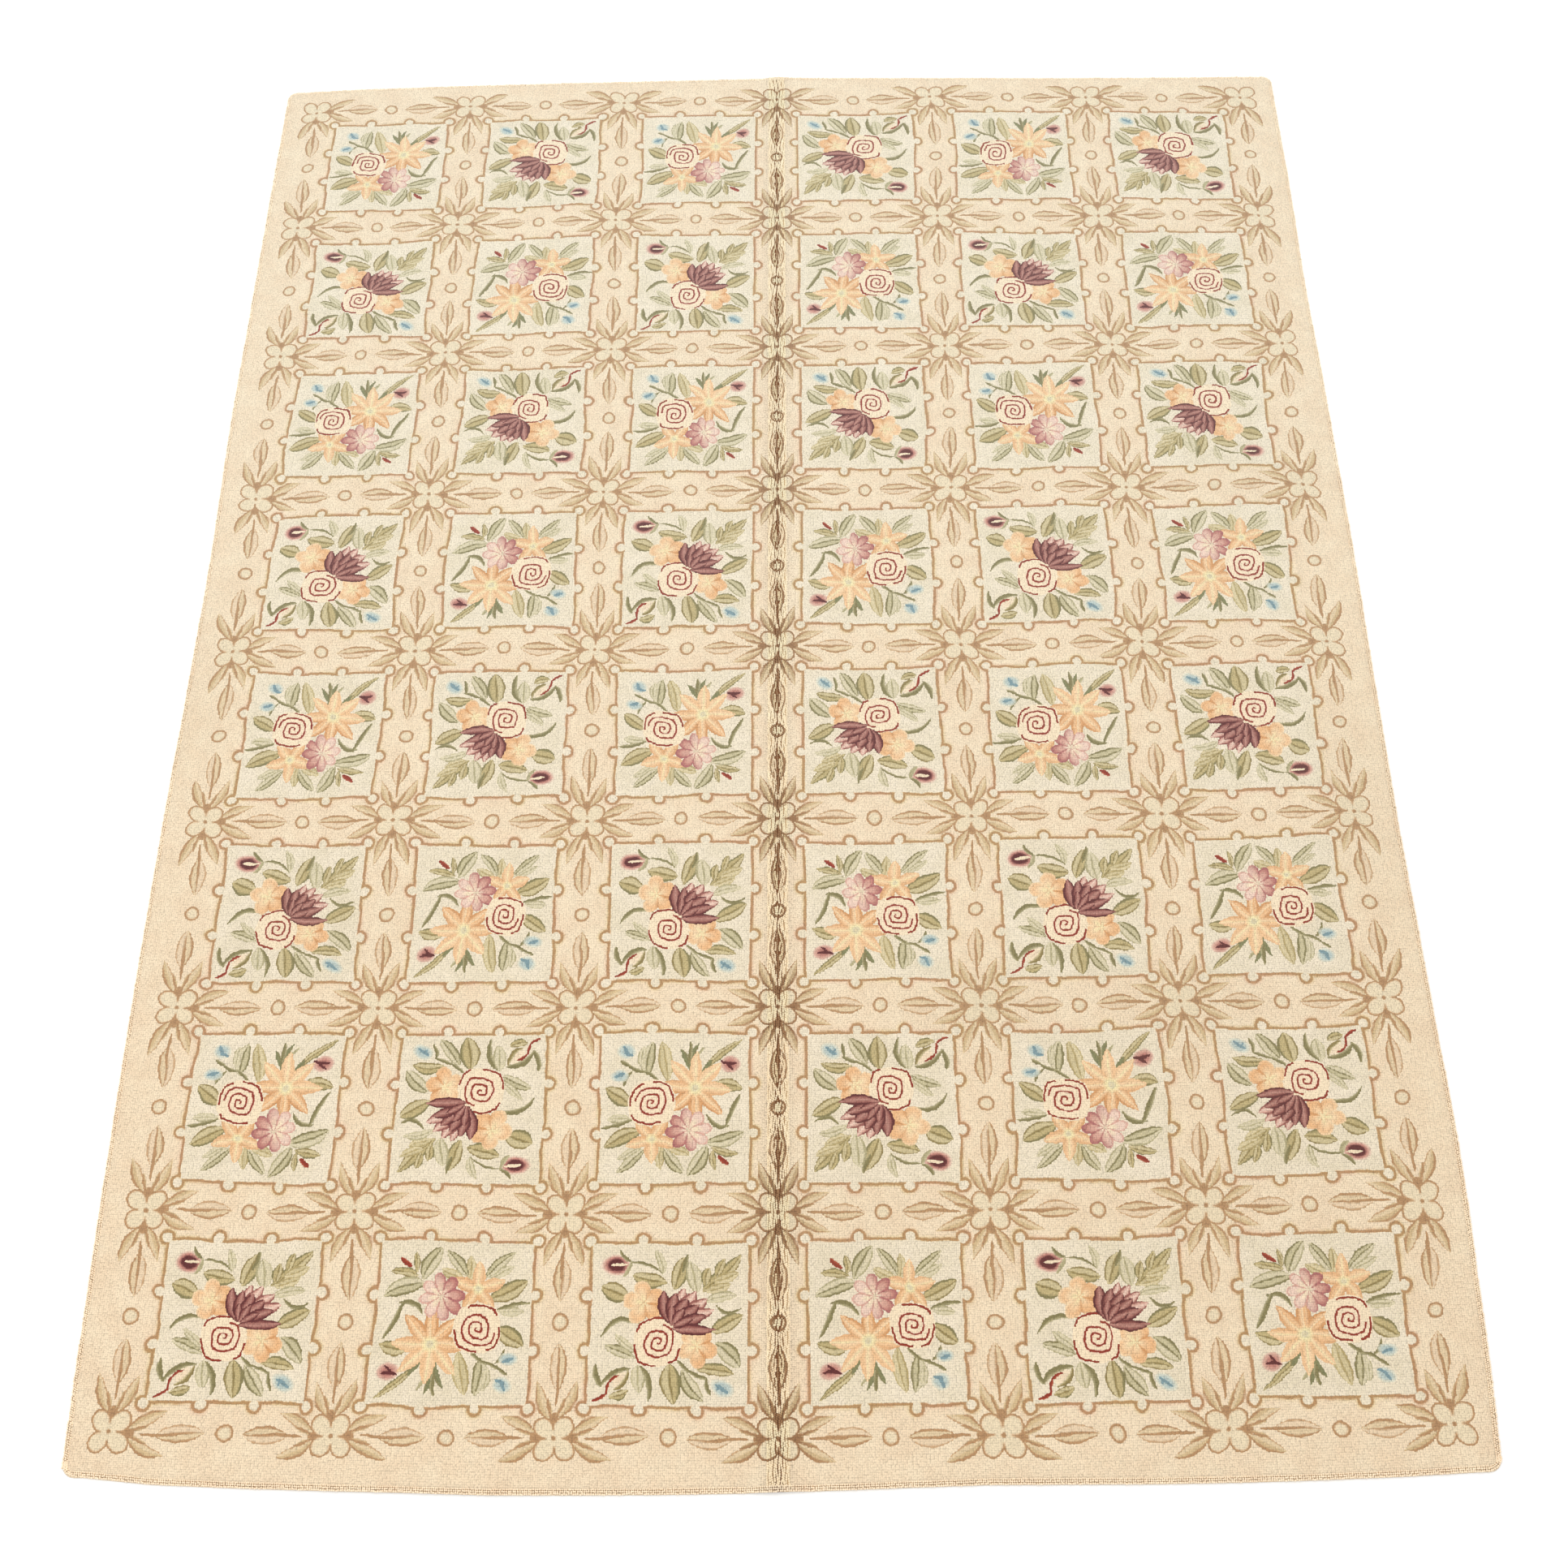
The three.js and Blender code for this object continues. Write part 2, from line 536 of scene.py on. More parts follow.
class Hooked(Enum):
    """The ways in which the pattern's blades and patches are hooked."""

    SAGE_LEAF = leaf("sage leaf", GREEN_DARK, GREEN_DARK, SAGE_GREY, SAGE_PALE, SAGE)
    GREY_LEAF = leaf("grey leaf", SAGE, SAGE, SAGE_PALE, SAGE_PALE, SAGE_GREY)
    OLIVE_LEAF = leaf("olive leaf", GREEN_DARK, OLIVE_DARK, OLIVE, OLIVE_SOFT, OLIVE_DARK)
    TAN_LEAF = leaf("tan leaf", OLIVE_MID, OLIVE_MID, OLIVE_SOFT, OLIVE_PALE, OLIVE)
    GREEN_STROKE = stroke("green stroke", GREEN_DARK, SAGE)
    SAGE_STROKE = stroke("sage stroke", SAGE, SAGE_GREY)
    DEEP_STROKE = stroke("deep stroke", GREEN_DEEP, GREEN_DARK, 0.9)
    OLIVE_STROKE = stroke("olive stroke", OLIVE_DARK, OLIVE_SOFT)
    RED_STROKE = stroke("red stroke", ROSE_LINE, RED_BUD)
    PLUM_STROKE = stroke("plum stroke", PLUM_BLACK, PLUM_BLACK)
    BLUE_STROKE = stroke("blue stroke", BLUE, BLUE)
    CREAM_STROKE = stroke("cream stroke", ROSE_CREAM, ROSE_CREAM)
    TAN_STROKE = stroke("tan stroke", TAN_LINE, TAN_LINE, 0.4)
    PLUM_PETAL = petal("plum petal", PLUM_BLACK, PLUM, PLUM_SOFT)
    ROSY_PETAL = petal("rosy petal", PLUM, MAUVE_SOFT, PINK_PALE)
    SPRAY_LENS = leaf("spray lens", TAN_LINE, TAN_LINE, SPRAY_PALE, TAN_PALE, TAN_MID, 0.9)
    SPRAY_FLANK = BladeHooking("spray flank", FLANK_BANDS, 1.05)
    SPRAY_SLIP = stroke("spray slip", TAN_LINE, SPRAY_FILL, 0.9)
    SPRAY_PETAL = SpotHooking("spray petal", CROSSING_PETAL_BANDS)
    SPRAY_HEART = SpotHooking("spray heart", HEART_BANDS)
    CREAM_MIDDLE = SpotHooking("cream middle", CREAM_BANDS)
    CENTRE_DOT = SpotHooking("centre dot", DOT_BANDS)
    RING = SpotHooking("ring", RING_BANDS)
    BLUE_BUD = SpotHooking("blue bud", BLUE_BANDS)
    PLUM_BUD = SpotHooking("plum bud", PLUM_BUD_BANDS)
    SOFT_BUD = SpotHooking("soft bud", SOFT_BUD_BANDS)
    PEACH_HOLLOW = SpotHooking("peach hollow", PEACH_BANDS)


# Forms of the pattern


def flat(pair: Sequence[float]) -> Triple:
    """A place or a way in the layout as a vector without height."""
    return pair[0], pair[1], 0.0


class Motif:
    """A form of the pattern. Each kind names the effect that hooks it and its own sizes in that effect."""

    def finish(self) -> Effect:
        """The effect that hooks the form."""
        raise NotImplementedError

    def sizes(self) -> Sequence[object]:
        """What the effect takes between the place and the colour under the form."""
        raise NotImplementedError

    def draw(self, g: Graph, place: Socket, under: Socket) -> Socket:
        """Lays the form over a colour."""
        return self.finish().place(g, place, *self.sizes(), under)["Colour"]


class Drawn(Motif, Effect):
    """A form that is its own effect, one for each kind and name of flower."""

    def finish(self) -> Effect:
        """The flower draws itself."""
        return self


@dataclass(frozen=True)
class Blade(Motif):
    """A leaf, petal or stem from its base to its tip, dark on the left and bent to the right."""

    kind: Hooked
    base: Pair
    tip: Pair
    half_width: float
    bend: float = 0.0
    dark_right: bool = False

    def finish(self) -> Effect:
        """The blade's way of hooking."""
        return self.kind.value

    def sizes(self) -> Sequence[object]:
        """Works out the blade's sizes.

        Returns:
            Its base, its way, its side way and its bend.
        """
        way = Vector(self.tip) - Vector(self.base)
        facing = -1 if self.dark_right else 1
        across = Vector((way.y, -way.x)).normalized() * facing / self.half_width
        bend = -4 * self.bend * facing / self.half_width
        return flat(self.base), flat(way / way.length_squared), flat(across), bend


@dataclass(frozen=True)
class Patch(Motif):
    """A round or oval patch at a place, its long half and its cross half, turned by an angle in degrees."""

    kind: Hooked
    middle: Pair
    half_length: float
    half_width: float
    turn: float = 0.0

    def finish(self) -> Effect:
        """The patch's way of hooking."""
        return self.kind.value

    def sizes(self) -> Sequence[object]:
        """Works out the patch's sizes.

        Returns:
            Its middle, its way and its side way.
        """
        angle = math.radians(self.turn)
        along = Vector((math.cos(angle), math.sin(angle))) / self.half_length
        across = Vector((-math.sin(angle), math.cos(angle))) / self.half_width
        return flat(self.middle), flat(along), flat(across)


@dataclass(frozen=True)
class PetalFlower(Drawn):
    """A flower of equal petals round its middle, turned by an angle in degrees."""

    name: str
    petals: int
    middle: Pair
    radius: float
    turn: float

    @property
    def first_petal(self) -> float:
        """How far the flower is turned, in petals, from half a petal before the right."""
        return 0.5 - self.turn * self.petals / 360

    def sector(self, g: Graph, local: Socket) -> Num:
        """Finds where in its petal's share of the round a place lies.

        Args:
            g: the group's graph.
            local: the place from the flower's middle.
        Returns:
            From -0.5 to 0.5, and 0 on the petal's own line.
        """
        x, y = g.parts(local)
        count = g.scaled_sum(g.math("ARCTAN2", y, x), self.petals / FULL_TURN, g.number("Turn"))
        return g.math("FRACT", count) - 0.5


DEEP_HALF = (Band(ORANGE_DEEP, 0.02, 0.14), Band(ORANGE, 0.3), Band(ORANGE_MID, 0.46))
STAR_DEEP = (*DEEP_HALF, Band(ORANGE_PALE, 0.52), Band(ORANGE, 0.72), Band(ORANGE_DEEP, 0.88, 0.98))
LIGHT_HALF = (Band(ORANGE, 0.02, 0.26), Band(ORANGE_PALE, 0.42), Band(BUTTER, 0.5))
STAR_LIGHT = (*LIGHT_HALF, Band(ORANGE_PALE, 0.58), Band(ORANGE, 0.98))
STAR_HEART = (Band(OLIVE_PALE, 0.0), Band(SAGE_PALE, 0.06), Band(BUTTER, 0.12), Band(BUTTER, 0.24, cover=0.0))


@dataclass(frozen=True)
class StarFlower(PetalFlower):
    """A flower of pointed petals round a small heart, deeper in colour on one side.

    Deep side is the way to that side, over the flower's radius.
    """

    slimness: float
    deep_side: Pair
    deepening: ClassVar[float] = 1.4
    least_room: ClassVar[float] = 1e-6
    takes = Sockets(("Place", "Middle", "Deep side"), ("Radius", "Turn", "Slimness"), ("Under",))

    def sizes(self) -> Sequence[object]:
        """The middle, the deep side over the radius, the radius, the turn and the slimness."""
        side = Vector(self.deep_side) / self.radius
        return flat(self.middle), flat(side), self.radius, self.first_petal, self.slimness

    def write(self, g: Graph) -> list[Socket]:
        """Writes the flower: lens petals in equal sectors.

        Args:
            g: the group's graph.
        Returns:
            The colour with the flower on it.
        """
        local = g.place_from("Middle")
        share = g.measure("LENGTH", local) / g.number("Radius")
        room = g.math("MAXIMUM", 1.0 - share, self.least_room)
        ratio = g.scaled_sum(self.sector(g, local) / room, g.number("Slimness"), 0.5)
        deep, cover = g.ramp(ratio, STAR_DEEP)
        light, _ = g.ramp(ratio, STAR_LIGHT)
        side = g.measure("DOT_PRODUCT", local, g.given["Deep side"])
        petals = g.mix(g.scaled_sum(side, self.deepening, 0.5), light, deep)
        laid = g.mix(cover, g.given["Under"], petals)
        heart, heart_cover = g.ramp(share, STAR_HEART)
        return [g.mix(heart_cover, laid, heart)]


@dataclass(frozen=True)
class RoundYarns:
    """The yarns of a round flower: bands from the middle out and the lines between petals, on either side."""

    near: Bands
    far: Bands
    near_line: Dye
    far_line: Dye


@dataclass(frozen=True)
class RoundFlower(PetalFlower):
    """A flower of rounded petals, hooked in one set of yarns on one side and another on the other.

    Toward is the way to the side of its near yarns, over its radius.
    """

    notch: float
    toward: Pair
    yarns: RoundYarns
    turning: ClassVar[float] = 1.6
    line_from: ClassVar[float] = 0.28
    line_edge: ClassVar[Pair] = (0.1, 0.22)
    takes = Sockets(("Place", "Middle", "Toward"), numbers=("Radius", "Turn"), colours=("Under",))

    def sizes(self) -> Sequence[object]:
        """The middle, the way to the near yarns over the radius, the radius and the turn."""
        toward = Vector(self.toward).normalized() / self.radius
        return flat(self.middle), flat(toward), self.radius, self.first_petal

    def write(self, g: Graph) -> list[Socket]:
        """Writes the flower: rings of yarn, scalloped at the edge, with a line between the petals.

        Args:
            g: the group's graph.
        Returns:
            The colour with the flower on it.
        """
        local = g.place_from("Middle")
        sector = self.sector(g, local)
        off = sector * sector
        share = g.scaled_sum(off, self.notch, g.measure("LENGTH", local) / g.number("Radius"))
        near, cover = g.ramp(share, self.yarns.near)
        far, _ = g.ramp(share, self.yarns.far)
        side = g.scaled_sum(g.measure("DOT_PRODUCT", local, g.given["Toward"]), self.turning, 0.5)
        petals = g.mix(side, far, near)
        lines = g.mix(side, self.yarns.far_line, self.yarns.near_line)
        lined = g.mix(g.step(off, *self.line_edge, 0.0, 1.0) * (share > self.line_from), petals, lines)
        return [g.mix(cover, g.given["Under"], lined)]


WINDING_LINE = (Band(ROSE_PINK, 0.0), Band(ROSE_LINE, 0.02, 0.28), Band(ROSE_PINK, 0.33))
WINDING_BANDS = (*WINDING_LINE, Band(ROSE_CREAM, 0.45, 0.85), Band(ROSE_PINK, 1.0))


@dataclass(frozen=True)
class SpiralRose(Drawn):
    """A rose drawn as one line that winds out from its middle in a squarish round, with three outer arcs.

    The arcs are given by the angles, in degrees, at which each starts and ends.
    """

    name: str
    middle: Pair
    end_angle: float
    end_radius: float
    arcs: tuple[Pair, ...]
    arc_radius: float
    radius: float = 49.0
    pitch: float = 13.0
    roundness: ClassVar[float] = 0.66
    squareness: ClassVar[float] = 0.38
    line_middle: ClassVar[float] = 0.14
    arc_half: ClassVar[float] = 2.1
    takes = Sockets(("Place", "Middle"), colours=("Under",))

    def sizes(self) -> Sequence[object]:
        """The middle."""
        return (flat(self.middle),)

    def arc_bands(self) -> Bands:
        """Sets out the outer arcs along the round, from the left by way of the near side.

        Returns:
            Places of the line's yarn, which covers from where an arc starts to where it ends.
        """
        places = [end / 360 + 0.5 for arc in self.arcs for end in arc]
        covers = [0.0, *[1.0, 0.0] * len(self.arcs), 0.0]
        return tuple(Band(ROSE_LINE, at, cover=on) for at, on in zip([0.0, *places, 1.0], covers))

    def write(self, g: Graph) -> list[Socket]:
        """Writes the rose: the spiral, its outer arcs and the cream between.

        Args:
            g: the group's graph.
        Returns:
            The colour with the rose on it.
        """
        local = g.place_from("Middle")
        x, y = g.parts(local)
        corner = g.math("MAXIMUM", abs(x), abs(y))
        far = g.scaled_sum(g.measure("LENGTH", local), self.roundness, corner * self.squareness)
        around = g.scaled_sum(g.math("ARCTAN2", y, x), 1 / FULL_TURN, 0.5)
        from_end = g.math("FRACT", around + (0.5 - self.end_angle / 360))
        last_wind = 1.0 + self.line_middle - self.end_radius / self.pitch
        winds = g.scaled_sum(far, 1 / self.pitch, last_wind) - from_end
        petals, _ = g.ramp(g.math("FRACT", winds), WINDING_BANDS)
        body = g.mix(winds < 0.5, ROSE_CREAM, petals)
        line, cover = g.ramp(around, self.arc_bands(), stepped=True)
        edge = g.math("COMPARE", far, self.arc_radius, self.arc_half) * cover
        return [g.mix(far < self.radius, g.given["Under"], g.mix(edge, body, line))]


ORANGE_HEART = (Band(BUTTER, 0.0), Band(ORANGE_PALE, 0.18), Band(ORANGE, 0.5))
ORANGE_YARNS = RoundYarns(
    near=(*ORANGE_HEART, Band(ORANGE_MID, 0.8), Band(ORANGE, 0.97)),
    far=(Band(BUTTER, 0.0, 0.2), Band(ORANGE_PALE, 0.5), Band(ORANGE, 0.8), Band(ORANGE_PALE, 1.0)),
    near_line=ORANGE_DEEP,
    far_line=ORANGE_PALE,
)
MAUVE_HEART = (Band(SAGE_PALE, 0.0, 0.1), Band(PINK_PALE, 0.2), Band(MAUVE_SOFT, 0.42, 0.62))
PINK_HEART = (Band(SAGE_PALE, 0.0), Band(ROSE_CREAM, 0.2, 0.4), Band(PINK_PALE, 0.66, 0.86))
MAUVE_YARNS = RoundYarns(
    near=(*MAUVE_HEART, Band(MAUVE, 0.8), Band(MAUVE_DEEP, 0.92, 0.98)),
    far=(*PINK_HEART, Band(MAUVE_SOFT, 0.94), Band(PINK_PALE, 1.0)),
    near_line=MAUVE_DEEP,
    far_line=MAUVE_SOFT,
)

STAR_BOUQUET: tuple[Motif, ...] = (
    Blade(Hooked.SAGE_LEAF, (-64, 80), (-27, 145), 16, -4),
    Blade(Hooked.OLIVE_LEAF, (-76, 90), (-80, 131), 7, 2),
    Blade(Hooked.OLIVE_LEAF, (-72, 86), (-130, 97), 9, 3, dark_right=True),
    Blade(Hooked.SAGE_LEAF, (-58, 74), (-141, 50), 16, 6),
    Blade(Hooked.RED_STROKE, (-86, 103), (-110, 121), 5.5),
    Blade(Hooked.GREEN_STROKE, (-62, 12), (-110, 36), 6, 11, dark_right=True),
    Blade(Hooked.GREEN_STROKE, (-100, 42), (-136, -32), 5.5, -3),
    Blade(Hooked.OLIVE_LEAF, (-82, -50), (-141, -42), 14, -5, dark_right=True),
    Blade(Hooked.OLIVE_LEAF, (-58, -78), (-139, -148), 8, -2, dark_right=True),
    Blade(Hooked.DEEP_STROKE, (-56, -74), (-78, -102), 7, 3),
    Patch(Hooked.SOFT_BUD, (-116, -94), 24, 19, 15),
    Blade(Hooked.PLUM_STROKE, (-130, -98), (-96, -99), 4, -3),
    Blade(Hooked.PLUM_STROKE, (-122, -82), (-104, -98), 3, 0),
    Blade(Hooked.DEEP_STROKE, (-29, -78), (-48, -136), 6, -3),
    Blade(Hooked.DEEP_STROKE, (-29, -84), (-10, -122), 6, 3),
    Blade(Hooked.GREEN_STROKE, (-30, -94), (-28, -138), 5, 2),
    Blade(Hooked.SAGE_STROKE, (-36, -104), (-60, -126), 4, 2),
    Blade(Hooked.TAN_LEAF, (14, -54), (31, -138), 16, 3),
    Blade(Hooked.SAGE_LEAF, (58, -66), (50, -138), 16, -4, dark_right=True),
    Blade(Hooked.GREY_LEAF, (70, -84), (66, -130), 8, -2),
    Blade(Hooked.GREEN_STROKE, (34, -54), (66, -78), 4, 1),
    Blade(Hooked.GREEN_STROKE, (60, -74), (98, -92), 4, -3),
    Blade(Hooked.GREEN_STROKE, (92, -88), (112, -99), 4),
    Blade(Hooked.GREEN_STROKE, (86, -78), (105, -47), 4, 4),
    Patch(Hooked.BLUE_BUD, (113, -69), 21, 14, 0),
    Blade(Hooked.BLUE_STROKE, (102, -75), (124, -67), 4),
    Patch(Hooked.BLUE_BUD, (101, -118), 20, 17, -10),
    Blade(Hooked.BLUE_STROKE, (86, -108), (106, -114), 3.6),
    Blade(Hooked.BLUE_STROKE, (98, -108), (107, -130), 4),
    Blade(Hooked.OLIVE_LEAF, (86, -8), (140, -43), 18, 0),
    Blade(Hooked.GREY_LEAF, (88, 22), (139, 20), 10, 0),
    Blade(Hooked.GREEN_STROKE, (84, 24), (152, 38), 4.5, -4),
    Blade(Hooked.OLIVE_LEAF, (68, 46), (143, 82), 18, 3),
    Blade(Hooked.GREY_LEAF, (64, 84), (115, 112), 9, 0),
    Blade(Hooked.SAGE_LEAF, (58, 88), (115, 138), 11, -2),
    Blade(Hooked.TAN_LEAF, (26, 78), (28, 131), 11, 2),
    Blade(Hooked.SAGE_LEAF, (22, 88), (-18, 140), 12, 2, dark_right=True),
    Blade(Hooked.TAN_LEAF, (16, 84), (-28, 101), 11, -2),
    StarFlower("of five", 5, (46, 65), 56, 18, 0.62, (-0.1, -0.3)),
    StarFlower("of eight", 8, (-43, -43), 76, -2, 0.5, (0.3, 0.9)),
    RoundFlower("mauve", 8, (-26, 47), 47, 8, 1.3, (1.0, 0.2), MAUVE_YARNS),
    SpiralRose("star", (47, -10), -10, 34.5, ((-176, -90), (-68, 6), (31, 117)), 44.5),
)

FAN_BOUQUET: tuple[Motif, ...] = (
    Blade(Hooked.OLIVE_LEAF, (-84, 52), (-137, 71), 20, 0),
    Blade(Hooked.OLIVE_LEAF, (-8, 80), (-75, 96), 17, -3),
    Blade(Hooked.GREY_LEAF, (-16, 96), (-29, 146), 9, 6),
    Blade(Hooked.OLIVE_LEAF, (6, 66), (32, 132), 17, 0, dark_right=True),
    Blade(Hooked.GREEN_STROKE, (24, 100), (36, 138), 5, 3),
    Blade(Hooked.GREY_LEAF, (52, 60), (43, 123), 17, 0),
    Blade(Hooked.OLIVE_LEAF, (62, 62), (139, 135), 14, 2),
    Blade(Hooked.OLIVE_LEAF, (70, 72), (76, 112), 10, -2),
    Blade(Hooked.OLIVE_LEAF, (90, 92), (104, 130), 9, -2),
    Blade(Hooked.TAN_LEAF, (84, 84), (134, 102), 11, 2),
    Blade(Hooked.TAN_LEAF, (68, 64), (118, 80), 10, 2),
    Blade(Hooked.GREY_LEAF, (66, 42), (132, 56), 10, -6),
    Blade(Hooked.GREEN_STROKE, (88, 40), (141, 32), 4.5, 13),
    Blade(Hooked.OLIVE_LEAF, (80, -16), (144, 19), 17, 0),
    Blade(Hooked.SAGE_LEAF, (90, -36), (139, -84), 17, -4),
    Blade(Hooked.OLIVE_LEAF, (58, -88), (126, -95), 13, -6),
    Blade(Hooked.GREEN_STROKE, (16, -74), (46, -95), 4, 2),
    Blade(Hooked.GREEN_STROKE, (40, -92), (80, -108), 4, 0),
    Blade(Hooked.SAGE_LEAF, (26, -90), (68, -149), 15, 2, dark_right=True),
    Blade(Hooked.GREEN_STROKE, (76, -104), (84, -138), 4.5, 3),
    Patch(Hooked.BLUE_BUD, (106, -122), 25, 17, -25),
    Blade(Hooked.BLUE_STROKE, (92, -114), (118, -131), 4),
    Blade(Hooked.BLUE_STROKE, (96, -128), (103, -116), 2.6),
    Blade(Hooked.OLIVE_LEAF, (1, -80), (11, -152), 21, 0),
    Blade(Hooked.GREY_LEAF, (-58, -80), (-54, -134), 15, 0),
    Blade(Hooked.GREEN_STROKE, (-54, -82), (-37, -149), 6.5, -10),
    Patch(Hooked.PEACH_HOLLOW, (-93, -108), 22, 14, 45),
    Blade(Hooked.GREEN_STROKE, (-140, -78), (-127, -122), 6, 5),
    Blade(Hooked.GREEN_STROKE, (-129, -120), (-70, -88), 6.5, -10),
    Blade(Hooked.OLIVE_STROKE, (-74, -90), (-106, -128), 5.5, -8),
    Blade(Hooked.OLIVE_LEAF, (-113, -140), (-76, -130), 10, 4, dark_right=True),
    Blade(Hooked.RED_STROKE, (-143, -149), (-115, -134), 3.5, 2),
    Blade(Hooked.RED_STROKE, (-117, -138), (-112, -110), 3.2, -2),
    Blade(Hooked.RED_STROKE, (-115, -114), (-92, -100), 3.2, -2),
    Blade(Hooked.SAGE_LEAF, (-64, -68), (-125, -43), 11, 2, dark_right=True),
    Blade(Hooked.GREY_LEAF, (-60, -58), (-106, -20), 9, -2),
    Blade(Hooked.GREEN_STROKE, (-58, 0), (-134, -26), 6, 19, dark_right=True),
    Patch(Hooked.PLUM_BUD, (-107, 115), 31, 22, 0),
    Blade(Hooked.CREAM_STROKE, (-118, 115), (-84, 117), 3.4),
    Blade(Hooked.GREEN_STROKE, (-99, 145), (-76, 122), 4.5, 4),
    Blade(Hooked.SAGE_STROKE, (-77, 124), (-95, 93), 5, -3),
    Blade(Hooked.GREEN_STROKE, (-78, 121), (-15, 98), 3.2, -8),
    RoundFlower("orange", 5, (-52, 40), 44, 25, 1.3, (1.0, -0.3), ORANGE_YARNS),
    RoundFlower("orange", 5, (55, -46), 42, 60, 1.3, (1.0, -0.3), ORANGE_YARNS),
    SpiralRose("fan", (-22, -38), 77, 33.5, ((-176, -94), (-62, -16), (38, 151)), 46.5),
    Blade(Hooked.ROSY_PETAL, (6, 0), (27, 70), 16),
    Blade(Hooked.ROSY_PETAL, (6, 0), (50, 64), 17),
    Blade(Hooked.ROSY_PETAL, (8, 0), (71, 49), 16),
    Blade(Hooked.ROSY_PETAL, (8, -2), (86, 28), 15),
    Blade(Hooked.PLUM_PETAL, (2, -6), (-12, 64), 15, -5),
    Blade(Hooked.PLUM_PETAL, (2, -6), (10, 60), 15),
    Blade(Hooked.PLUM_PETAL, (4, -6), (34, 50), 16),
    Blade(Hooked.PLUM_PETAL, (6, -6), (56, 37), 15),
    Blade(Hooked.PLUM_PETAL, (6, -8), (72, 16), 13),
    Blade(Hooked.PLUM_PETAL, (2, -11), (90, -10), 11, 4),
    Blade(Hooked.PLUM_PETAL, (2, -6), (5, 36), 10),
    Blade(Hooked.PLUM_PETAL, (4, -6), (28, 28), 10),
    Blade(Hooked.PLUM_PETAL, (6, -8), (46, 10), 9),
)


class Bouquet(Enum):
    """The two bouquets, each as it lies in the even rows; the odd rows show it turned half round."""

    STAR = STAR_BOUQUET
    FAN = FAN_BOUQUET


@dataclass(frozen=True)
class Trellis:
    """The layout of the trellis, in millimetres from its own middle."""

    columns: int = 6
    rows: int = 8
    pitch_x: float = 427.0
    pitch_y: float = 436.0
    middle_x: float = -2.0
    middle_y: float = 6.0
    taper: float = 10.0
    spread: float = 10.0
    bow: float = 20.0
    band_half: float = 41.0
    frame_x: float = 156.0
    frame_y: float = 160.0
    lobe_at: float = 53.0
    lobe_radius: float = 13.0
    lobe_rise: float = 5.0
    corner_rise: float = 3.0

    @property
    def half_x(self) -> float:
        """From the middle to the outermost crossings, across."""
        return self.columns * self.pitch_x / 2

    @property
    def half_y(self) -> float:
        """From the middle to the outermost crossings, along."""
        return self.rows * self.pitch_y / 2

    def strain(self, x: Array, y: Array) -> tuple[Array, Array]:
        """How far the cloth has been pulled from the ideal layout at a place.

        Args:
            x: places across, from the trellis's middle.
            y: places along.
        Returns:
            The shift across and the shift along.
        """
        side, end = x / self.half_x, y / self.half_y
        across = -self.taper * side * (1 + end) / 2
        along = self.spread * np.sin(np.pi * np.clip(end, -1, 1)) - self.bow * end * side**2
        return across, along

    def lay(self, x: Array, y: Array) -> tuple[Array, Array]:
        """Finds where places of the layout lie on the floor."""
        across, along = self.strain(x, y)
        return x + across + self.middle_x, y + along + self.middle_y

    def unlay(self, x: Array, y: Array) -> tuple[Array, Array]:
        """Finds the places of the layout that lie at places on the floor.

        Args:
            x: places across in the rug's own frame, in millimetres.
            y: places along.
        Returns:
            The places across and along in the layout, in millimetres.
        """
        flat_x, flat_y = x - self.middle_x, y - self.middle_y
        across, along = self.strain(flat_x, flat_y)
        across, along = self.strain(flat_x - across, flat_y - along)
        return flat_x - across, flat_y - along

    def cells(self, g: Graph, x: Num, y: Num, shift: float) -> tuple[Num, Num]:
        """The column and row: with shift 0 they run from crossing to crossing, with 0.5 from ring to ring."""
        column = g.scaled_sum(x, 1 / self.pitch_x, self.columns / 2 + shift)
        return column, g.scaled_sum(y, 1 / self.pitch_y, self.rows / 2 + shift)

    def from_middle(self, g: Graph, column: Num, row: Num) -> tuple[Num, Num]:
        """How far a place is across and along from the middle of its cell."""
        across = g.scaled_sum(g.math("FRACT", column), self.pitch_x, -self.pitch_x / 2)
        return across, g.scaled_sum(g.math("FRACT", row), self.pitch_y, -self.pitch_y / 2)


TRELLIS = Trellis()


# Effects of the pattern and the pile


@dataclass(frozen=True)
class Hand(Effect):
    """Makes the drawing wander as a hand's does, and less so along the fold."""

    sway: float = 24.0
    wander: float = 240.0
    fold_reach: float = 120.0
    fold_share: float = 0.2
    takes = Sockets(("Place",))
    gives = Sockets(("Place",))

    def write(self, g: Graph) -> list[Socket]:
        """Writes the wandering.

        Args:
            g: the group's graph.
        Returns:
            The place in the drawing that lies there.
        """
        place = g.given["Place"]
        drift = g.noise(place, self.wander, detail=2.0, roughness=0.4, lacunarity=4.0)["Color"]
        shift = g.vector("SUBTRACT", drift, (0.5, 0.5, 0.5))
        x, _ = g.parts(place)
        share = g.math("MINIMUM", g.math("MAXIMUM", abs(x) * (1 / self.fold_reach), self.fold_share), 1.0)
        return [g.vector("ADD", place, g.scale(shift, share * self.sway))]


LOOP_PULL = 0.45  # how far each loop carries the colour at its tip over its own place, from 0 to 1


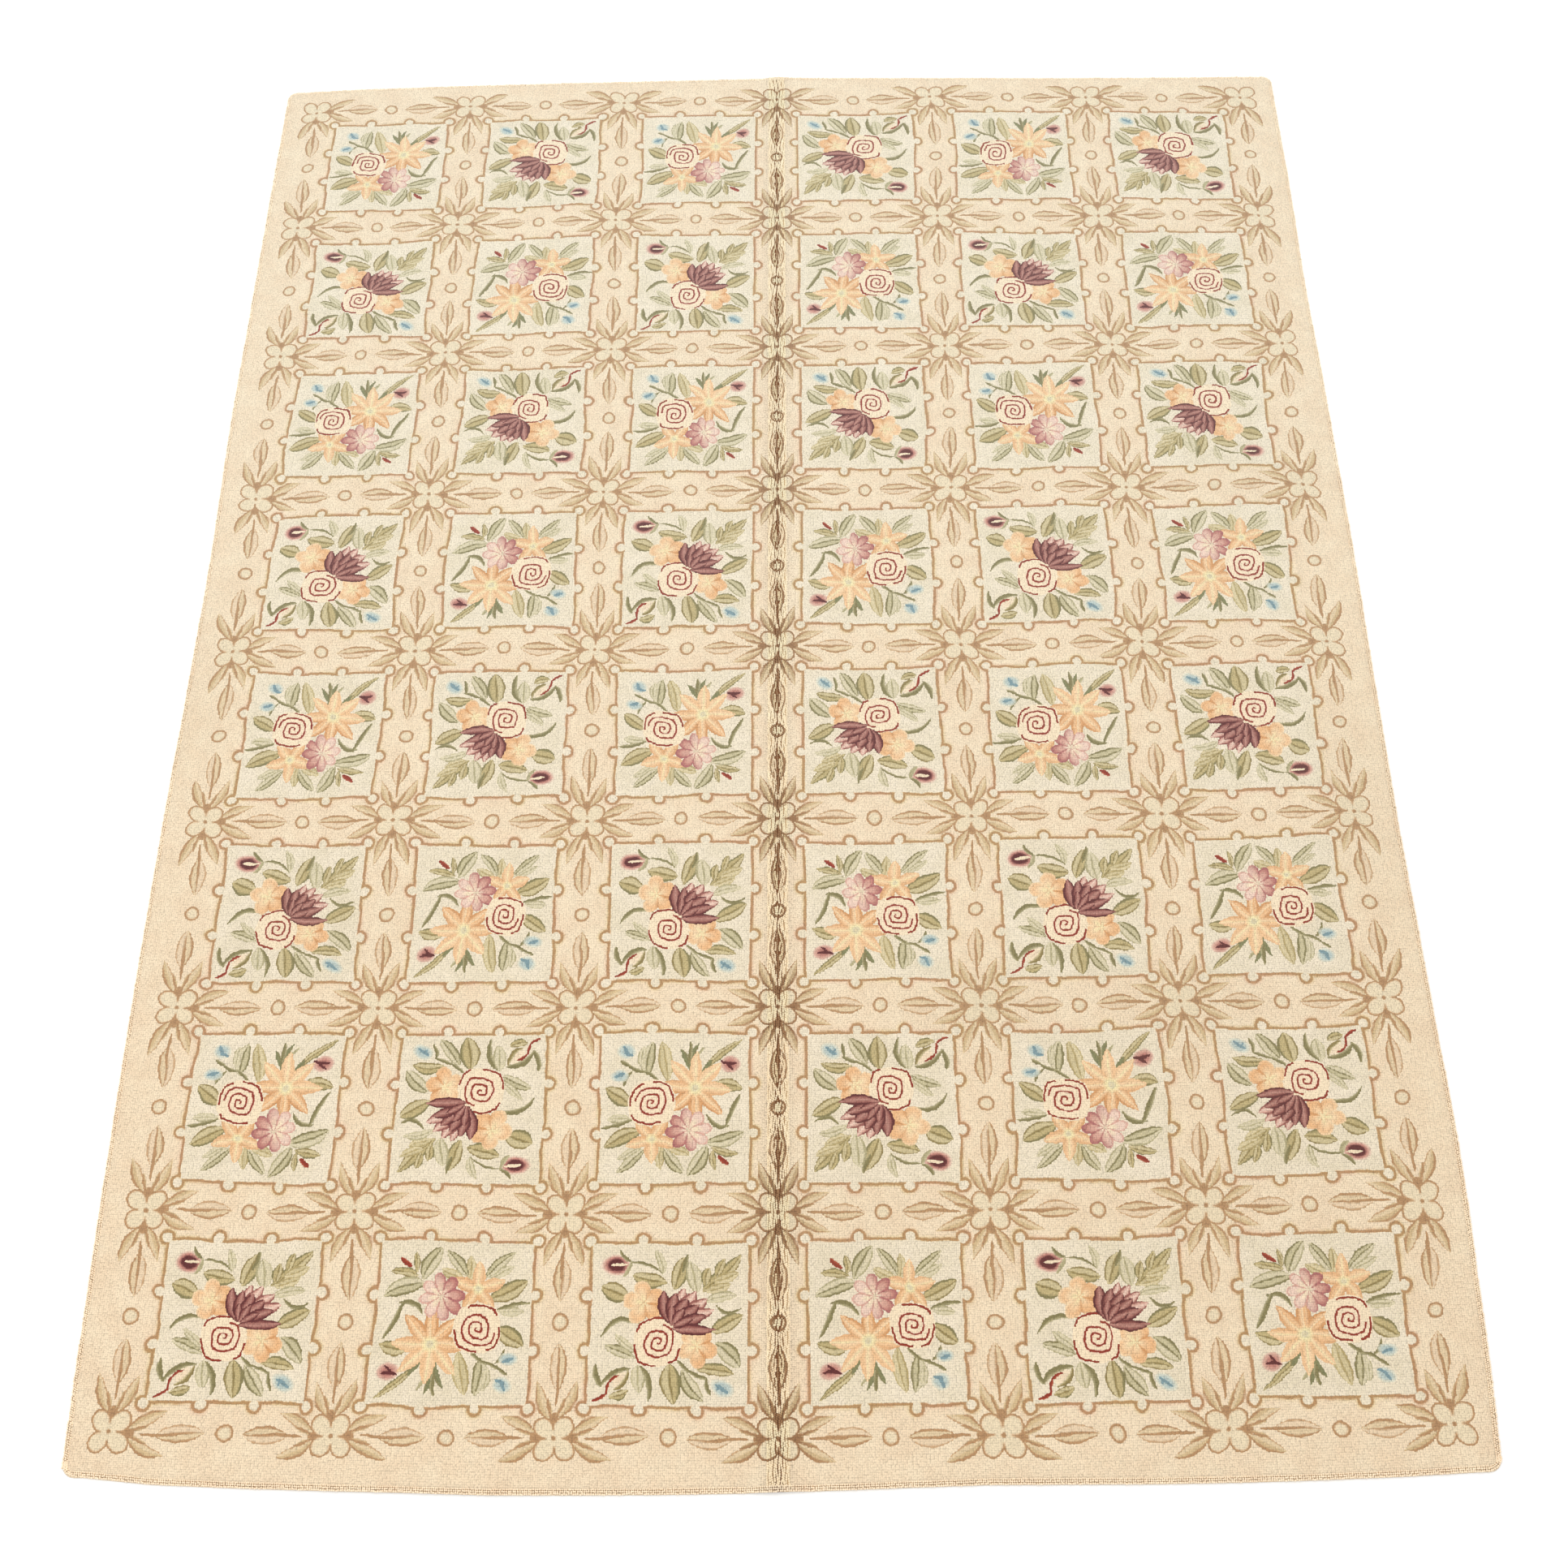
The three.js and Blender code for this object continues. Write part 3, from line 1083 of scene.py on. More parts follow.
@dataclass(frozen=True)
class Loops(Effect):
    """Splits the pile into loops in rows, which run across where Upright is 0 and along where it is 1."""

    along: float = 3.7
    across: float = 4.5
    scatter: float = 0.42
    takes = Sockets(("Place",), numbers=("Upright",))
    gives = Sockets(("Tip",), numbers=("Off", "Chance"))

    def write(self, g: Graph) -> list[object]:
        """Writes the loops.

        Args:
            g: the group's graph.
        Returns:
            The place whose colour the loop shows, how far off its tip is, and a chance for each loop.
        """
        place, upright = g.given["Place"], g.number("Upright")
        x, y = g.parts(place)
        row_way = g.choose(upright, x, y)
        row_side = g.choose(upright, y, x)
        cells = g.node("ShaderNodeTexVoronoi", voronoi_dimensions="2D", feature="F1")
        row_place = g.join(row_way * (1 / self.along), row_side * (1 / self.across))
        g.fill(cells, {"Vector": row_place, "Scale": 1.0, "Randomness": self.scatter})
        cell_x, cell_y = g.parts(cells.outputs["Position"])
        tip_x = cell_x * self.along
        tip_y = cell_y * self.across
        tip = g.join(g.choose(upright, tip_x, tip_y), g.choose(upright, tip_y, tip_x))
        pull = g.scale(g.vector("SUBTRACT", tip, place), LOOP_PULL)
        chance, _ = g.parts(cells.outputs["Color"])
        return [g.vector("ADD", place, pull), cells.outputs["Distance"], chance]


@dataclass(frozen=True)
class Ground(Effect):
    """Plain ground: two near yarns that drift into each other."""

    drift: float = 70.0
    contrast: float = 3.0
    takes = Sockets(("Place",), colours=("One", "Other"))

    def write(self, g: Graph) -> list[Socket]:
        """Writes the ground.

        Args:
            g: the group's graph.
        Returns:
            The ground's colour.
        """
        noise = Num(g, g.noise(g.given["Place"], self.drift, detail=4.0, roughness=0.65)["Fac"])
        share = g.scaled_sum(noise, self.contrast, 0.5 - self.contrast / 2)
        return [g.mix(share, g.given["One"], g.given["Other"])]


@dataclass(frozen=True)
class PanelPlace(Effect):
    """Gives the place in a panel, turned half round in the odd rows."""

    takes = Sockets(("Place",))
    gives = Sockets(("Local",))

    def write(self, g: Graph) -> list[Socket]:
        """Writes the place.

        Args:
            g: the group's graph.
        Returns:
            The place from the panel's middle.
        """
        column, row = TRELLIS.cells(g, *g.parts(g.given["Place"]), 0.0)
        half_odd = g.math("FRACT", g.math("FLOOR", row) * 0.5)
        turn = g.scaled_sum(half_odd, -4.0, 1.0)
        return [g.scale(g.join(*TRELLIS.from_middle(g, column, row)), turn)]


FRAME_BANDS = (
    (-13.0, TAN_PALE, 0.0), (-3.8, TAN_PALE, 0.0), (-3.0, TAN_SOFT, 0.9), (-2.2, TAN_LINE, 1.0),
    (2.0, TAN_LINE, 1.0), (3.4, TAN_SOFT, 1.0), (5.0, TAN_PALE, 0.7), (10.0, TAN_PALE, 0.0),
    (13.0, TAN_PALE, 0.0),
)  # each a distance out from the line's middle in millimetres, a yarn and its cover


@dataclass(frozen=True)
class PanelFrame(Effect):
    """A panel's frame: a line with round lobes, the panel's yarn inside it and the trellis's outside."""

    drift: float = 90.0
    contrast: float = 4.0
    olive_gain: ClassVar[Colour] = (0.99, 1.02, 0.93, 1.0)
    pink_gain: ClassVar[Colour] = (1.01, 0.96, 0.99, 1.0)
    takes = Sockets(("Place", "Local"), colours=("Inside", "Outside"))

    def write(self, g: Graph) -> list[Socket]:
        """Writes the frame.

        Args:
            g: the group's graph.
        Returns:
            The colour with the frame on it.
        """
        drift = Num(g, g.noise(g.given["Place"], self.drift, detail=1.0)["Fac"])
        pink = g.scaled_sum(drift, self.contrast, 0.5 - self.contrast / 2)
        yarn = g.mix(pink, self.olive_gain, self.pink_gain)
        folded = g.vector("ABSOLUTE", g.given["Local"])
        x, y = g.parts(folded)
        far = g.math("MAXIMUM", x - TRELLIS.frame_x, y - TRELLIS.frame_y)
        lobes = (
            (TRELLIS.lobe_at, TRELLIS.frame_y + TRELLIS.lobe_rise),
            (TRELLIS.frame_x + TRELLIS.lobe_rise, TRELLIS.lobe_at),
            (TRELLIS.frame_x + TRELLIS.corner_rise, TRELLIS.frame_y + TRELLIS.corner_rise),
        )
        for lobe in lobes:
            far = g.math("MINIMUM", far, g.measure("DISTANCE", folded, flat(lobe)) - TRELLIS.lobe_radius)
        reach = FRAME_BANDS[-1][0] - FRAME_BANDS[0][0]
        ground = g.mix(far > 0.0, g.given["Inside"], g.given["Outside"])
        bands = tuple(Band(dye, 0.5 + at / reach, cover=cover) for at, dye, cover in FRAME_BANDS)
        line, cover = g.ramp(g.scaled_sum(far, 1 / reach, 0.5), bands)
        return [g.mix(cover, ground, g.vector("MULTIPLY", line, yarn))]


SPRAY_HEARTS = (Patch(Hooked.SPRAY_HEART, (35, 0), 13, 16),)
SPRAY_FLANKS = (
    Blade(Hooked.SPRAY_FLANK, (33, 8), (108, 42), 12, -4),
    Blade(Hooked.SPRAY_SLIP, (40, 4), (76, 17), 4.5, -1),
)
SPRAY_LEAVES = (
    Blade(Hooked.SPRAY_LENS, (86, 0), (178, 0), 18.5, 1),
    Blade(Hooked.TAN_STROKE, (58, 0), (136, 0), 3.6),
)
CROSSING_PETALS = (Patch(Hooked.SPRAY_PETAL, (27, 0), 23, 20),)
CROSSING_ROUNDS = (
    Patch(Hooked.CREAM_MIDDLE, (0, 0), 17, 17),
    Patch(Hooked.CENTRE_DOT, (0, 0), 6, 6),
    Patch(Hooked.RING, (TRELLIS.pitch_x / 2, 0), 18, 18),
    Patch(Hooked.RING, (0, TRELLIS.pitch_y / 2), 18, 18),
)


def draw_all(g: Graph, motifs: Sequence[Motif], place: Socket, colour: Socket) -> Socket:
    """Lays forms over a colour, one after another.

    Args:
        g: the graph to write in.
        motifs: the forms, from the lowest up.
        place: the place that they are laid out in.
        colour: the colour under them.
    Returns:
        The colour with the forms on it.
    """
    for motif in motifs:
        colour = motif.draw(g, place, colour)
    return colour


@dataclass(frozen=True)
class Crossing(Effect):
    """A crossing's flower with its sprays, and the rings between crossings."""

    border_push: float = 400.0
    takes = Sockets(("Place",), colours=("Under",))

    def write(self, g: Graph) -> list[Socket]:
        """Writes the crossing: each of its four ways folded onto one, and none that leads off the trellis.

        Args:
            g: the group's graph.
        Returns:
            The colour with the crossing on it.
        """
        x, y = g.parts(g.given["Place"])
        near_x, near_y = TRELLIS.from_middle(g, *TRELLIS.cells(g, x, y, 0.5))
        far_x = abs(near_x)
        far_y = abs(near_y)
        level = far_x > far_y
        out = g.math("MAXIMUM", far_x, far_y)
        side = g.choose(level, g.math("SIGN", near_y) * near_x, g.math("SIGN", near_x) * (near_y * -1.0))
        past_side = (abs(x) > TRELLIS.half_x) * level
        past_end = (abs(y) > TRELLIS.half_y) * (1.0 - level)
        pushed = g.scaled_sum(past_side + past_end, self.border_push, out)
        spray_place = g.join(pushed, side)
        flank_place = g.join(pushed, abs(side))
        slant = math.sqrt(0.5)
        diagonal_place = g.join((far_x + far_y) * slant, (far_x - far_y) * slant)
        colour = draw_all(g, SPRAY_HEARTS, spray_place, g.given["Under"])
        colour = draw_all(g, SPRAY_FLANKS, flank_place, colour)
        colour = draw_all(g, SPRAY_LEAVES, spray_place, colour)
        colour = draw_all(g, CROSSING_PETALS, diagonal_place, colour)
        return [draw_all(g, CROSSING_ROUNDS, g.join(far_x, far_y), colour)]


# The drawn lines come out darker towards the fold, and less so at the far end.
@dataclass(frozen=True)
class FoldDarkening(Effect):
    """Darkens the drawn lines near the fold, and leaves the plain ground as it is."""

    plain_green: float = 0.57
    drawn_green: float = 0.27
    full_within: float = 8.0
    none_beyond: float = 95.0
    strength: float = 0.62
    far_share: float = 0.6
    takes = Sockets(("Place",), colours=("Colour",))

    def write(self, g: Graph) -> list[Socket]:
        """Writes the darkening.

        Args:
            g: the group's graph.
        Returns:
            The darker colour.
        """
        x, y = g.parts(g.given["Place"])
        _, green = g.parts(g.given["Colour"])
        drawn = g.step(green, self.plain_green, self.drawn_green, 0.0, 1.0)
        near = g.step(abs(x), self.full_within, self.none_beyond, self.strength, 0.0)
        end = g.step(y, -TRELLIS.half_y / 2, TRELLIS.half_y, 1.0, self.far_share)
        return [g.mix(drawn * near * end, g.given["Colour"], FOLD_BROWN)]


@dataclass(frozen=True)
class UsedPile(Effect):
    """Turns a yarn's colour into the pile's colour.

    Each loop's tone differs a little, and painted shade darkens the gaps between the loops and the band along
    the fold. The far end is paler and bluer, and some patches are duller.
    Off is how far off a loop's tip is.
    """

    far_gain: Colour = (1.0, 1.05, 1.1, 1.0)
    far_veil: float = 0.05
    loop_spread: float = 0.13
    loop_least: float = 0.93
    # The sizes from here down to fold_shade set the painted shade in the gaps between loops and along the
    # fold.
    fold_edge: Pair = (3.0, 48.0)
    gap_shade_edge: Pair = (0.34, 0.74)
    gap_shade_depth: float = 0.24
    gap_shade_at_fold: float = 0.3
    fold_shade: float = 0.1
    takes = Sockets(("Place",), numbers=("Off", "Chance", "Patchiness"), colours=("Colour",))

    def write(self, g: Graph) -> list[Socket]:
        """Writes the tone and the painted shade.

        Args:
            g: the group's graph.
        Returns:
            The pile's colour.
        """
        x, y = g.parts(g.given["Place"])
        # Paler and bluer towards the far end.
        far = g.step(y, -TRELLIS.half_y, TRELLIS.half_y, 0.0, 1.0)
        gain = g.mix(far, (1.0, 1.0, 1.0, 1.0), self.far_gain)
        paled = g.vector("MULTIPLY", g.given["Colour"], gain)
        # Mixes in a dull grey-tan at the darker patches that the mesh holds.
        patched = g.mix(g.given["Patchiness"], g.mix(far * self.far_veil, paled, FAR_PALE), PATCH_DULL)
        tint = g.scaled_sum(g.number("Chance"), self.loop_spread, self.loop_least)
        # Painted shade: darker in the gaps between the loops and along the fold's crease, where shade falls.
        fold = g.step(abs(x), *self.fold_edge, 1.0, 0.0)
        in_gap = g.step(g.number("Off"), *self.gap_shade_edge, 0.0, 1.0)
        gap_shade = 1.0 - in_gap * g.scaled_sum(fold, self.gap_shade_at_fold, self.gap_shade_depth)
        shade = gap_shade * g.scaled_sum(fold, -self.fold_shade, 1.0)
        return [g.scale(patched, tint * shade)]


@dataclass(frozen=True)
class Relief(Effect):
    """The height of the loops' tips, with the yarn's fuzz. Off is how far off a tip is."""

    fall: float = 1.6
    fuzz: float = 0.35
    fuzz_size: float = 0.77
    takes = Sockets(("Place",), numbers=("Off",))
    gives = Sockets(numbers=("Height",))

    def write(self, g: Graph) -> list[Num]:
        """Writes the height.

        Args:
            g: the group's graph.
        Returns:
            The height, near 1 at a tip.
        """
        off = g.number("Off")
        dome = 1.0 - off * off * self.fall
        fuzz = Num(g, g.noise(g.given["Place"], self.fuzz_size, detail=2.0)["Fac"])
        return [g.scaled_sum(fuzz, self.fuzz, dome)]


# Finishes


class Surface:
    """A dull finish. Each kind names itself and writes its colour and its relief."""

    label: ClassVar[str]
    roughness: ClassVar[float] = 0.95
    specular: ClassVar[float] = 0.15
    sheen: ClassVar[float] = 0.08
    sheen_roughness: ClassVar[float] = 0.6
    relief: ClassVar[float] = 0.0
    relief_strength: ClassVar[float] = 0.8

    def write(self, g: Graph) -> tuple[object, object]:
        """Writes the nodes before the shader.

        Args:
            g: the material's graph.
        Returns:
            The colour, and the height of the relief or None.
        """
        raise NotImplementedError

    def make(self) -> bpy.types.Material:
        """Makes the material.

        Returns:
            The material.
        """
        material = bpy.data.materials.new(self.label)
        material.use_nodes = True
        material.node_tree.nodes.clear()
        g = Graph(material.node_tree)
        colour, height = self.write(g)
        settings = {
            "Base Color": colour,
            "Roughness": self.roughness,
            "Specular IOR Level": self.specular,
            "Sheen Weight": self.sheen,
            "Sheen Roughness": self.sheen_roughness,
        }
        shader = g.fill(g.node("ShaderNodeBsdfPrincipled"), settings)
        if height is not None:
            settings = {"Strength": self.relief_strength, "Distance": self.relief, "Height": height}
            bump = g.fill(g.node("ShaderNodeBump"), settings)
            g.put(shader.inputs["Normal"], bump.outputs[0])
        g.fill(g.node("ShaderNodeOutputMaterial"), (shader.outputs[0],))
        return material


def design_place(g: Graph) -> Socket:
    """The place in the layout, in millimetres, from the cloth's UV map."""
    return g.scale(g.node("ShaderNodeUVMap", uv_map=DESIGN_MAP).outputs[0], 1 / MM)


def panel_ground(g: Graph, tip: Socket) -> Socket:
    """The plain ground inside a panel."""
    return Ground().place(g, tip, PANEL_CREAM, PANEL_CREAM_DEEP)[0]


def trellis_ground(g: Graph, tip: Socket) -> Socket:
    """The plain ground between the panels and in the border."""
    return Ground().place(g, tip, PEACH_CREAM, PEACH_DEEP)[0]


def trellis_colour(g: Graph, tip: Socket) -> Socket:
    """Writes the trellis: its ground, its crossings, its rings and the panels' frames.

    Args:
        g: the graph to write in.
        tip: the place of a loop's tip in the layout.
    Returns:
        The yarn's colour there.
    """
    hand = Hand().place(g, tip)[0]
    outside = trellis_ground(g, tip)
    inside = panel_ground(g, tip)
    crossing = FoldDarkening().place(g, tip, Crossing().place(g, hand, outside)[0])[0]
    local = PanelPlace().place(g, hand)[0]
    x, y = g.parts(hand)
    beyond = g.math("MAXIMUM", abs(x) - TRELLIS.half_x, abs(y) - TRELLIS.half_y) > 0.0
    framed = PanelFrame().place(g, hand, local, inside, crossing)[0]
    return g.mix(beyond, framed, crossing)


class FlatPile(Surface):
    """Pile whose loops are drawn on the cloth. Each kind says what it shows and which way its rows run."""

    relief = 2.2 * MM

    def upright(self, g: Graph, place: Socket) -> Value:
        """1 where the rows run along, and 0 where they run across, as they do unless a kind says more."""
        return 0.0

    def yarn(self, g: Graph, tip: Socket) -> Socket:
        """Writes the drawing."""
        raise NotImplementedError

    def write(self, g: Graph) -> tuple[object, object]:
        """Writes the pile.

        Args:
            g: the material's graph.
        Returns:
            The pile's colour and its height.
        """
        place = design_place(g)
        tip, off, chance = Loops().place(g, place, self.upright(g, place))
        colour = self.yarn(g, tip)
        patchiness = g.attribute(PATCHINESS)["Fac"]
        used = UsedPile().place(g, place, off, chance, patchiness, colour)[0]
        return used, Relief().place(g, place, off)[0]


@dataclass(frozen=True)
class PanelPile(FlatPile):
    """The pile of the panels that hold one of the bouquets."""

    bouquet: Bouquet

    @property
    def label(self) -> str:
        """The material's name."""
        return f"Pile with the {self.bouquet.name.lower()} bouquet"

    def yarn(self, g: Graph, tip: Socket) -> Socket:
        """Writes the bouquet in its frame.

        Args:
            g: the material's graph.
            tip: the place of a loop's tip in the layout.
        Returns:
            The yarn's colour there.
        """
        hand = Hand().place(g, tip)[0]
        local = PanelPlace().place(g, hand)[0]
        colour = draw_all(g, self.bouquet.value, local, panel_ground(g, tip))
        return PanelFrame().place(g, hand, local, colour, trellis_ground(g, tip))[0]


@dataclass(frozen=True)
class TrellisPile(FlatPile):
    """The pile of the trellis and the border."""

    label = "Pile of the trellis"

    def upright(self, g: Graph, place: Socket) -> Value:
        """Writes the way of the rows: along the bands of the trellis.

        Args:
            g: the material's graph.
            place: the place in the layout.
        Returns:
            1 where the rows run along, and 0 where they run across.
        """
        cells = TRELLIS.cells(g, *g.parts(place), 0.5)
        across, along = (abs(g.math("FRACT", cell) - 0.5) for cell in cells)
        return along > across

    def yarn(self, g: Graph, tip: Socket) -> Socket:
        """The trellis's colour."""
        return trellis_colour(g, tip)


@dataclass(frozen=True)
class StandingPile(Surface):
    """The yarn of loops modelled one by one, with a gain for the light that they lose between them."""

    label: str
    gain: Triple

    def write(self, g: Graph) -> tuple[object, object]:
        """Writes the yarn.

        Args:
            g: the material's graph.
        Returns:
            The yarn's colour, and no relief.
        """
        middle = g.attribute(LOOP_PLACE)["Vector"]
        here = g.scale(g.node("ShaderNodeTexCoord").outputs["Object"], 1 / MM)
        aside = g.vector("SUBTRACT", here, g.attribute(LOOP_FLOOR)["Vector"])
        tip = g.vector("ADD", middle, g.scale(aside, 1.0 - LOOP_PULL))
        colour = trellis_colour(g, tip)
        chance = g.attribute(LOOP_CHANCE)["Fac"]
        patchiness = g.attribute(PATCHINESS)["Fac"]
        used = UsedPile().place(g, tip, 0.0, chance, patchiness, colour)[0]
        return g.vector("MULTIPLY", used, self.gain), None


@dataclass(frozen=True)
class FoldCloth(Surface):
    """The foundation cloth between the fold's loops: tan, and brown at the crest as soil and painted shade.
    """

    crest_shade_edge: Pair = (4.0, 16.0)
    label = "Cloth in the fold"

    def write(self, g: Graph) -> tuple[object, object]:
        """Writes the cloth.

        Args:
            g: the material's graph.
        Returns:
            Its colour, and no relief.
        """
        x, _ = g.parts(design_place(g))
        # Painted shade: brown at the crest, where the gaps between loops are deepest, and tan further out.
        unshaded = g.step(abs(x), *self.crest_shade_edge, 0.0, 1.0)
        return g.mix(unshaded, FOLD_BROWN, FOLD_TAN), None


@dataclass(frozen=True)
class BackCloth(Surface):
    """The woven back of the foundation cloth, where the rows of hooking show as fine ridges."""

    thread: float = 1.9
    ridge: float = 0.5
    thread_cover: Pair = (0.25, 0.12)
    mottle: float = 40.0
    label = "Back of the cloth"
    relief = 0.5 * MM

    def write(self, g: Graph) -> tuple[object, object]:
        """Writes the weave.

        Args:
            g: the material's graph.
        Returns:
            The cloth's colour and its height.
        """
        place = design_place(g)
        x, y = g.parts(place)
        weft, warp = (g.math("SINE", way * (FULL_TURN / self.thread)) * self.ridge for way in (x, y))
        weave = g.math("MAXIMUM", weft, warp)
        mottle = Num(g, g.noise(place, self.mottle, detail=5.0)["Fac"])
        colour = g.mix(mottle, BACK_CLOTH, BACK_DULL)
        return g.mix(g.scaled_sum(weave, *self.thread_cover), colour, BACK_THREAD), weave


@dataclass(frozen=True)
class PaleFloor(Surface):
    """The floor's even pale grey."""

    grey: float = 0.88
    label = "Pale floor"
    roughness = 0.9
    specular = 0.1
    sheen = 0.0

    def write(self, g: Graph) -> tuple[object, object]:
        """The grey, and no relief."""
        return (self.grey, self.grey, self.grey, 1.0), None


FOLD_PILE = StandingPile("Pile of the fold's loops", (1.09, 1.12, 1.1))
RIM_PILE = StandingPile("Pile of the rim's loops", (1.1, 1.13, 1.18))


# Duller patches


@dataclass(frozen=True)
class DullPatch:
    """A duller patch on the pile: its middle and half sizes in millimetres, and how much it hides the yarn.
    """

    x: float
    y: float
    half_x: float
    half_y: float
    share: float
    fall: ClassVar[float] = 1.5

    def cover(self, x: Array, y: Array) -> Array:
        """How much it hides the yarn at places of the layout, from 0 to 1."""
        far = np.hypot((x - self.x) / self.half_x, (y - self.y) / self.half_y)
        return self.share * np.exp(-(far**2) * self.fall)


DULL_PATCHES = (
    DullPatch(430, -862, 190, 120, 0.1),
    DullPatch(859, -880, 260, 150, 0.08),
    DullPatch(1280, -430, 140, 380, 0.08),
    DullPatch(1168, 465, 200, 120, 0.06),
    DullPatch(-1341, -116, 120, 260, 0.06),
    DullPatch(-977, -698, 260, 160, 0.05),
    DullPatch(60, -1330, 260, 260, 0.06),
    DullPatch(900, -1300, 480, 420, 0.05),
)


def mark(mesh: Mesh, name: str, values: Array) -> None:
    """Gives each point of a mesh a number or a vector."""
    kind, field = ("FLOAT", "value") if values.ndim == 1 else ("FLOAT_VECTOR", "vector")
    mesh.attributes.new(name, kind, "POINT").data.foreach_set(field, values.astype(np.float32).ravel())


def add_patchiness(mesh: Mesh, x: Array, y: Array) -> None:
    """Gives a mesh's points their share of the duller patches."""
    mark(mesh, PATCHINESS, sum(dull_patch.cover(x, y) for dull_patch in DULL_PATCHES))


# Cloth


@dataclass
class PackedRug:
    """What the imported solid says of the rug's shape: where its edge runs and how far the cloth is lifted.

    All sizes are in metres. The pile's top is its height over the floor where the cloth lies flat.
    """

    node: str
    pile_top: float
    widest_level: float = 3.15 * MM
    corner_keep: float = 60 * MM
    beside_fold: float = 100 * MM
    edge_keep_x: float = 42 * MM
    edge_keep_y: float = 56 * MM
    even_x: Triple = (-12 * MM, 0.0, 12 * MM)
    even_y: Triple = (-55 * MM, 0.0, 55 * MM)
    above: float = 1.0

    def __post_init__(self) -> None:
        """Reads the node's mesh and its box."""
        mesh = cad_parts[self.node].data
        corners = [vertex.co.copy() for vertex in mesh.vertices]
        self.tree = BVHTree.FromPolygons(corners, [face.vertices[:] for face in mesh.polygons])
        self.low, self.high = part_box(self.node)

    def top(self, x: float, y: float) -> float:
        """The height of the solid at a place."""
        return self.tree.ray_cast(Vector((x, y, self.above)), Vector((0, 0, -1)))[0].z

    def reach(self, start: Pair, way: Pair) -> float:
        """Measures how far the solid reaches at its widest level."""
        level = self.top(*start) - self.pile_top + self.widest_level
        return self.tree.ray_cast(Vector((*start, level)), Vector(flat(way)))[3]

    def edges(self, places: Array, along_y: bool) -> tuple[Array, Array]:
        """The edge on either side of the middle line.

        Args:
            places: places along the middle line.
            along_y: True for the two long sides, False for the two ends.
        Returns:
            The distances to the edge on the lower side and on the upper side.
        """
        limit = (self.high.y if along_y else self.high.x) - self.corner_keep
        aside = self.beside_fold if along_y else 0.0
        found = []
        for sign in (-1, 1):
            way = (sign, 0) if along_y else (0, sign)
            starts = [(sign * aside, p) if along_y else (p, 0.0) for p in np.clip(places, -limit, limit)]
            found.append(np.array([self.reach(start, way) + aside for start in starts]))
        return found[0], found[1]

    def lift(self, x: Array, y: Array) -> Array:
        """How far the cloth is lifted off the floor, evened out over the solid's flat faces.

        Args:
            x: places across.
            y: places along.
        Returns:
            The heights of the cloth's underside.
        """
        total = np.zeros_like(x)
        for step_x in self.even_x:
            for step_y in self.even_y:
                spots_x = np.clip(x + step_x, self.low.x + self.edge_keep_x, self.high.x - self.edge_keep_x)
                spots_y = np.clip(y + step_y, self.low.y + self.edge_keep_y, self.high.y - self.edge_keep_y)
                total += [self.top(*spot) - self.pile_top for spot in zip(spots_x, spots_y)]
        return np.maximum(total / (len(self.even_x) * len(self.even_y)), 0.0)


def stand(name: str, data: bpy.types.ID) -> Piece:
    """Adds an object with its mesh, lamp or camera to the scene."""
    thing = bpy.data.objects.new(name, data)
    bpy.context.scene.collection.objects.link(thing)
    return thing


def add_map(mesh: Mesh, name: str, places: Array) -> None:
    """Gives a mesh a UV map."""
    mesh.uv_layers.new(name=name).data.foreach_set("uv", places.astype(np.float32).ravel())


def grid_faces(index: Array, up: bool) -> Array:
    """The four-sided faces of a grid."""
    ring = [index[:-1, :-1], index[:-1, 1:], index[1:, 1:], index[1:, :-1]]
    return np.stack(ring if up else ring[::-1], axis=2).reshape(-1, 4)


class Cover(IntEnum):
    """What covers a face of the cloth, as the number of its material."""

    TRELLIS = 0
    STAR = 1
    FAN = 2
    FOLD = 3
    BACK = 4


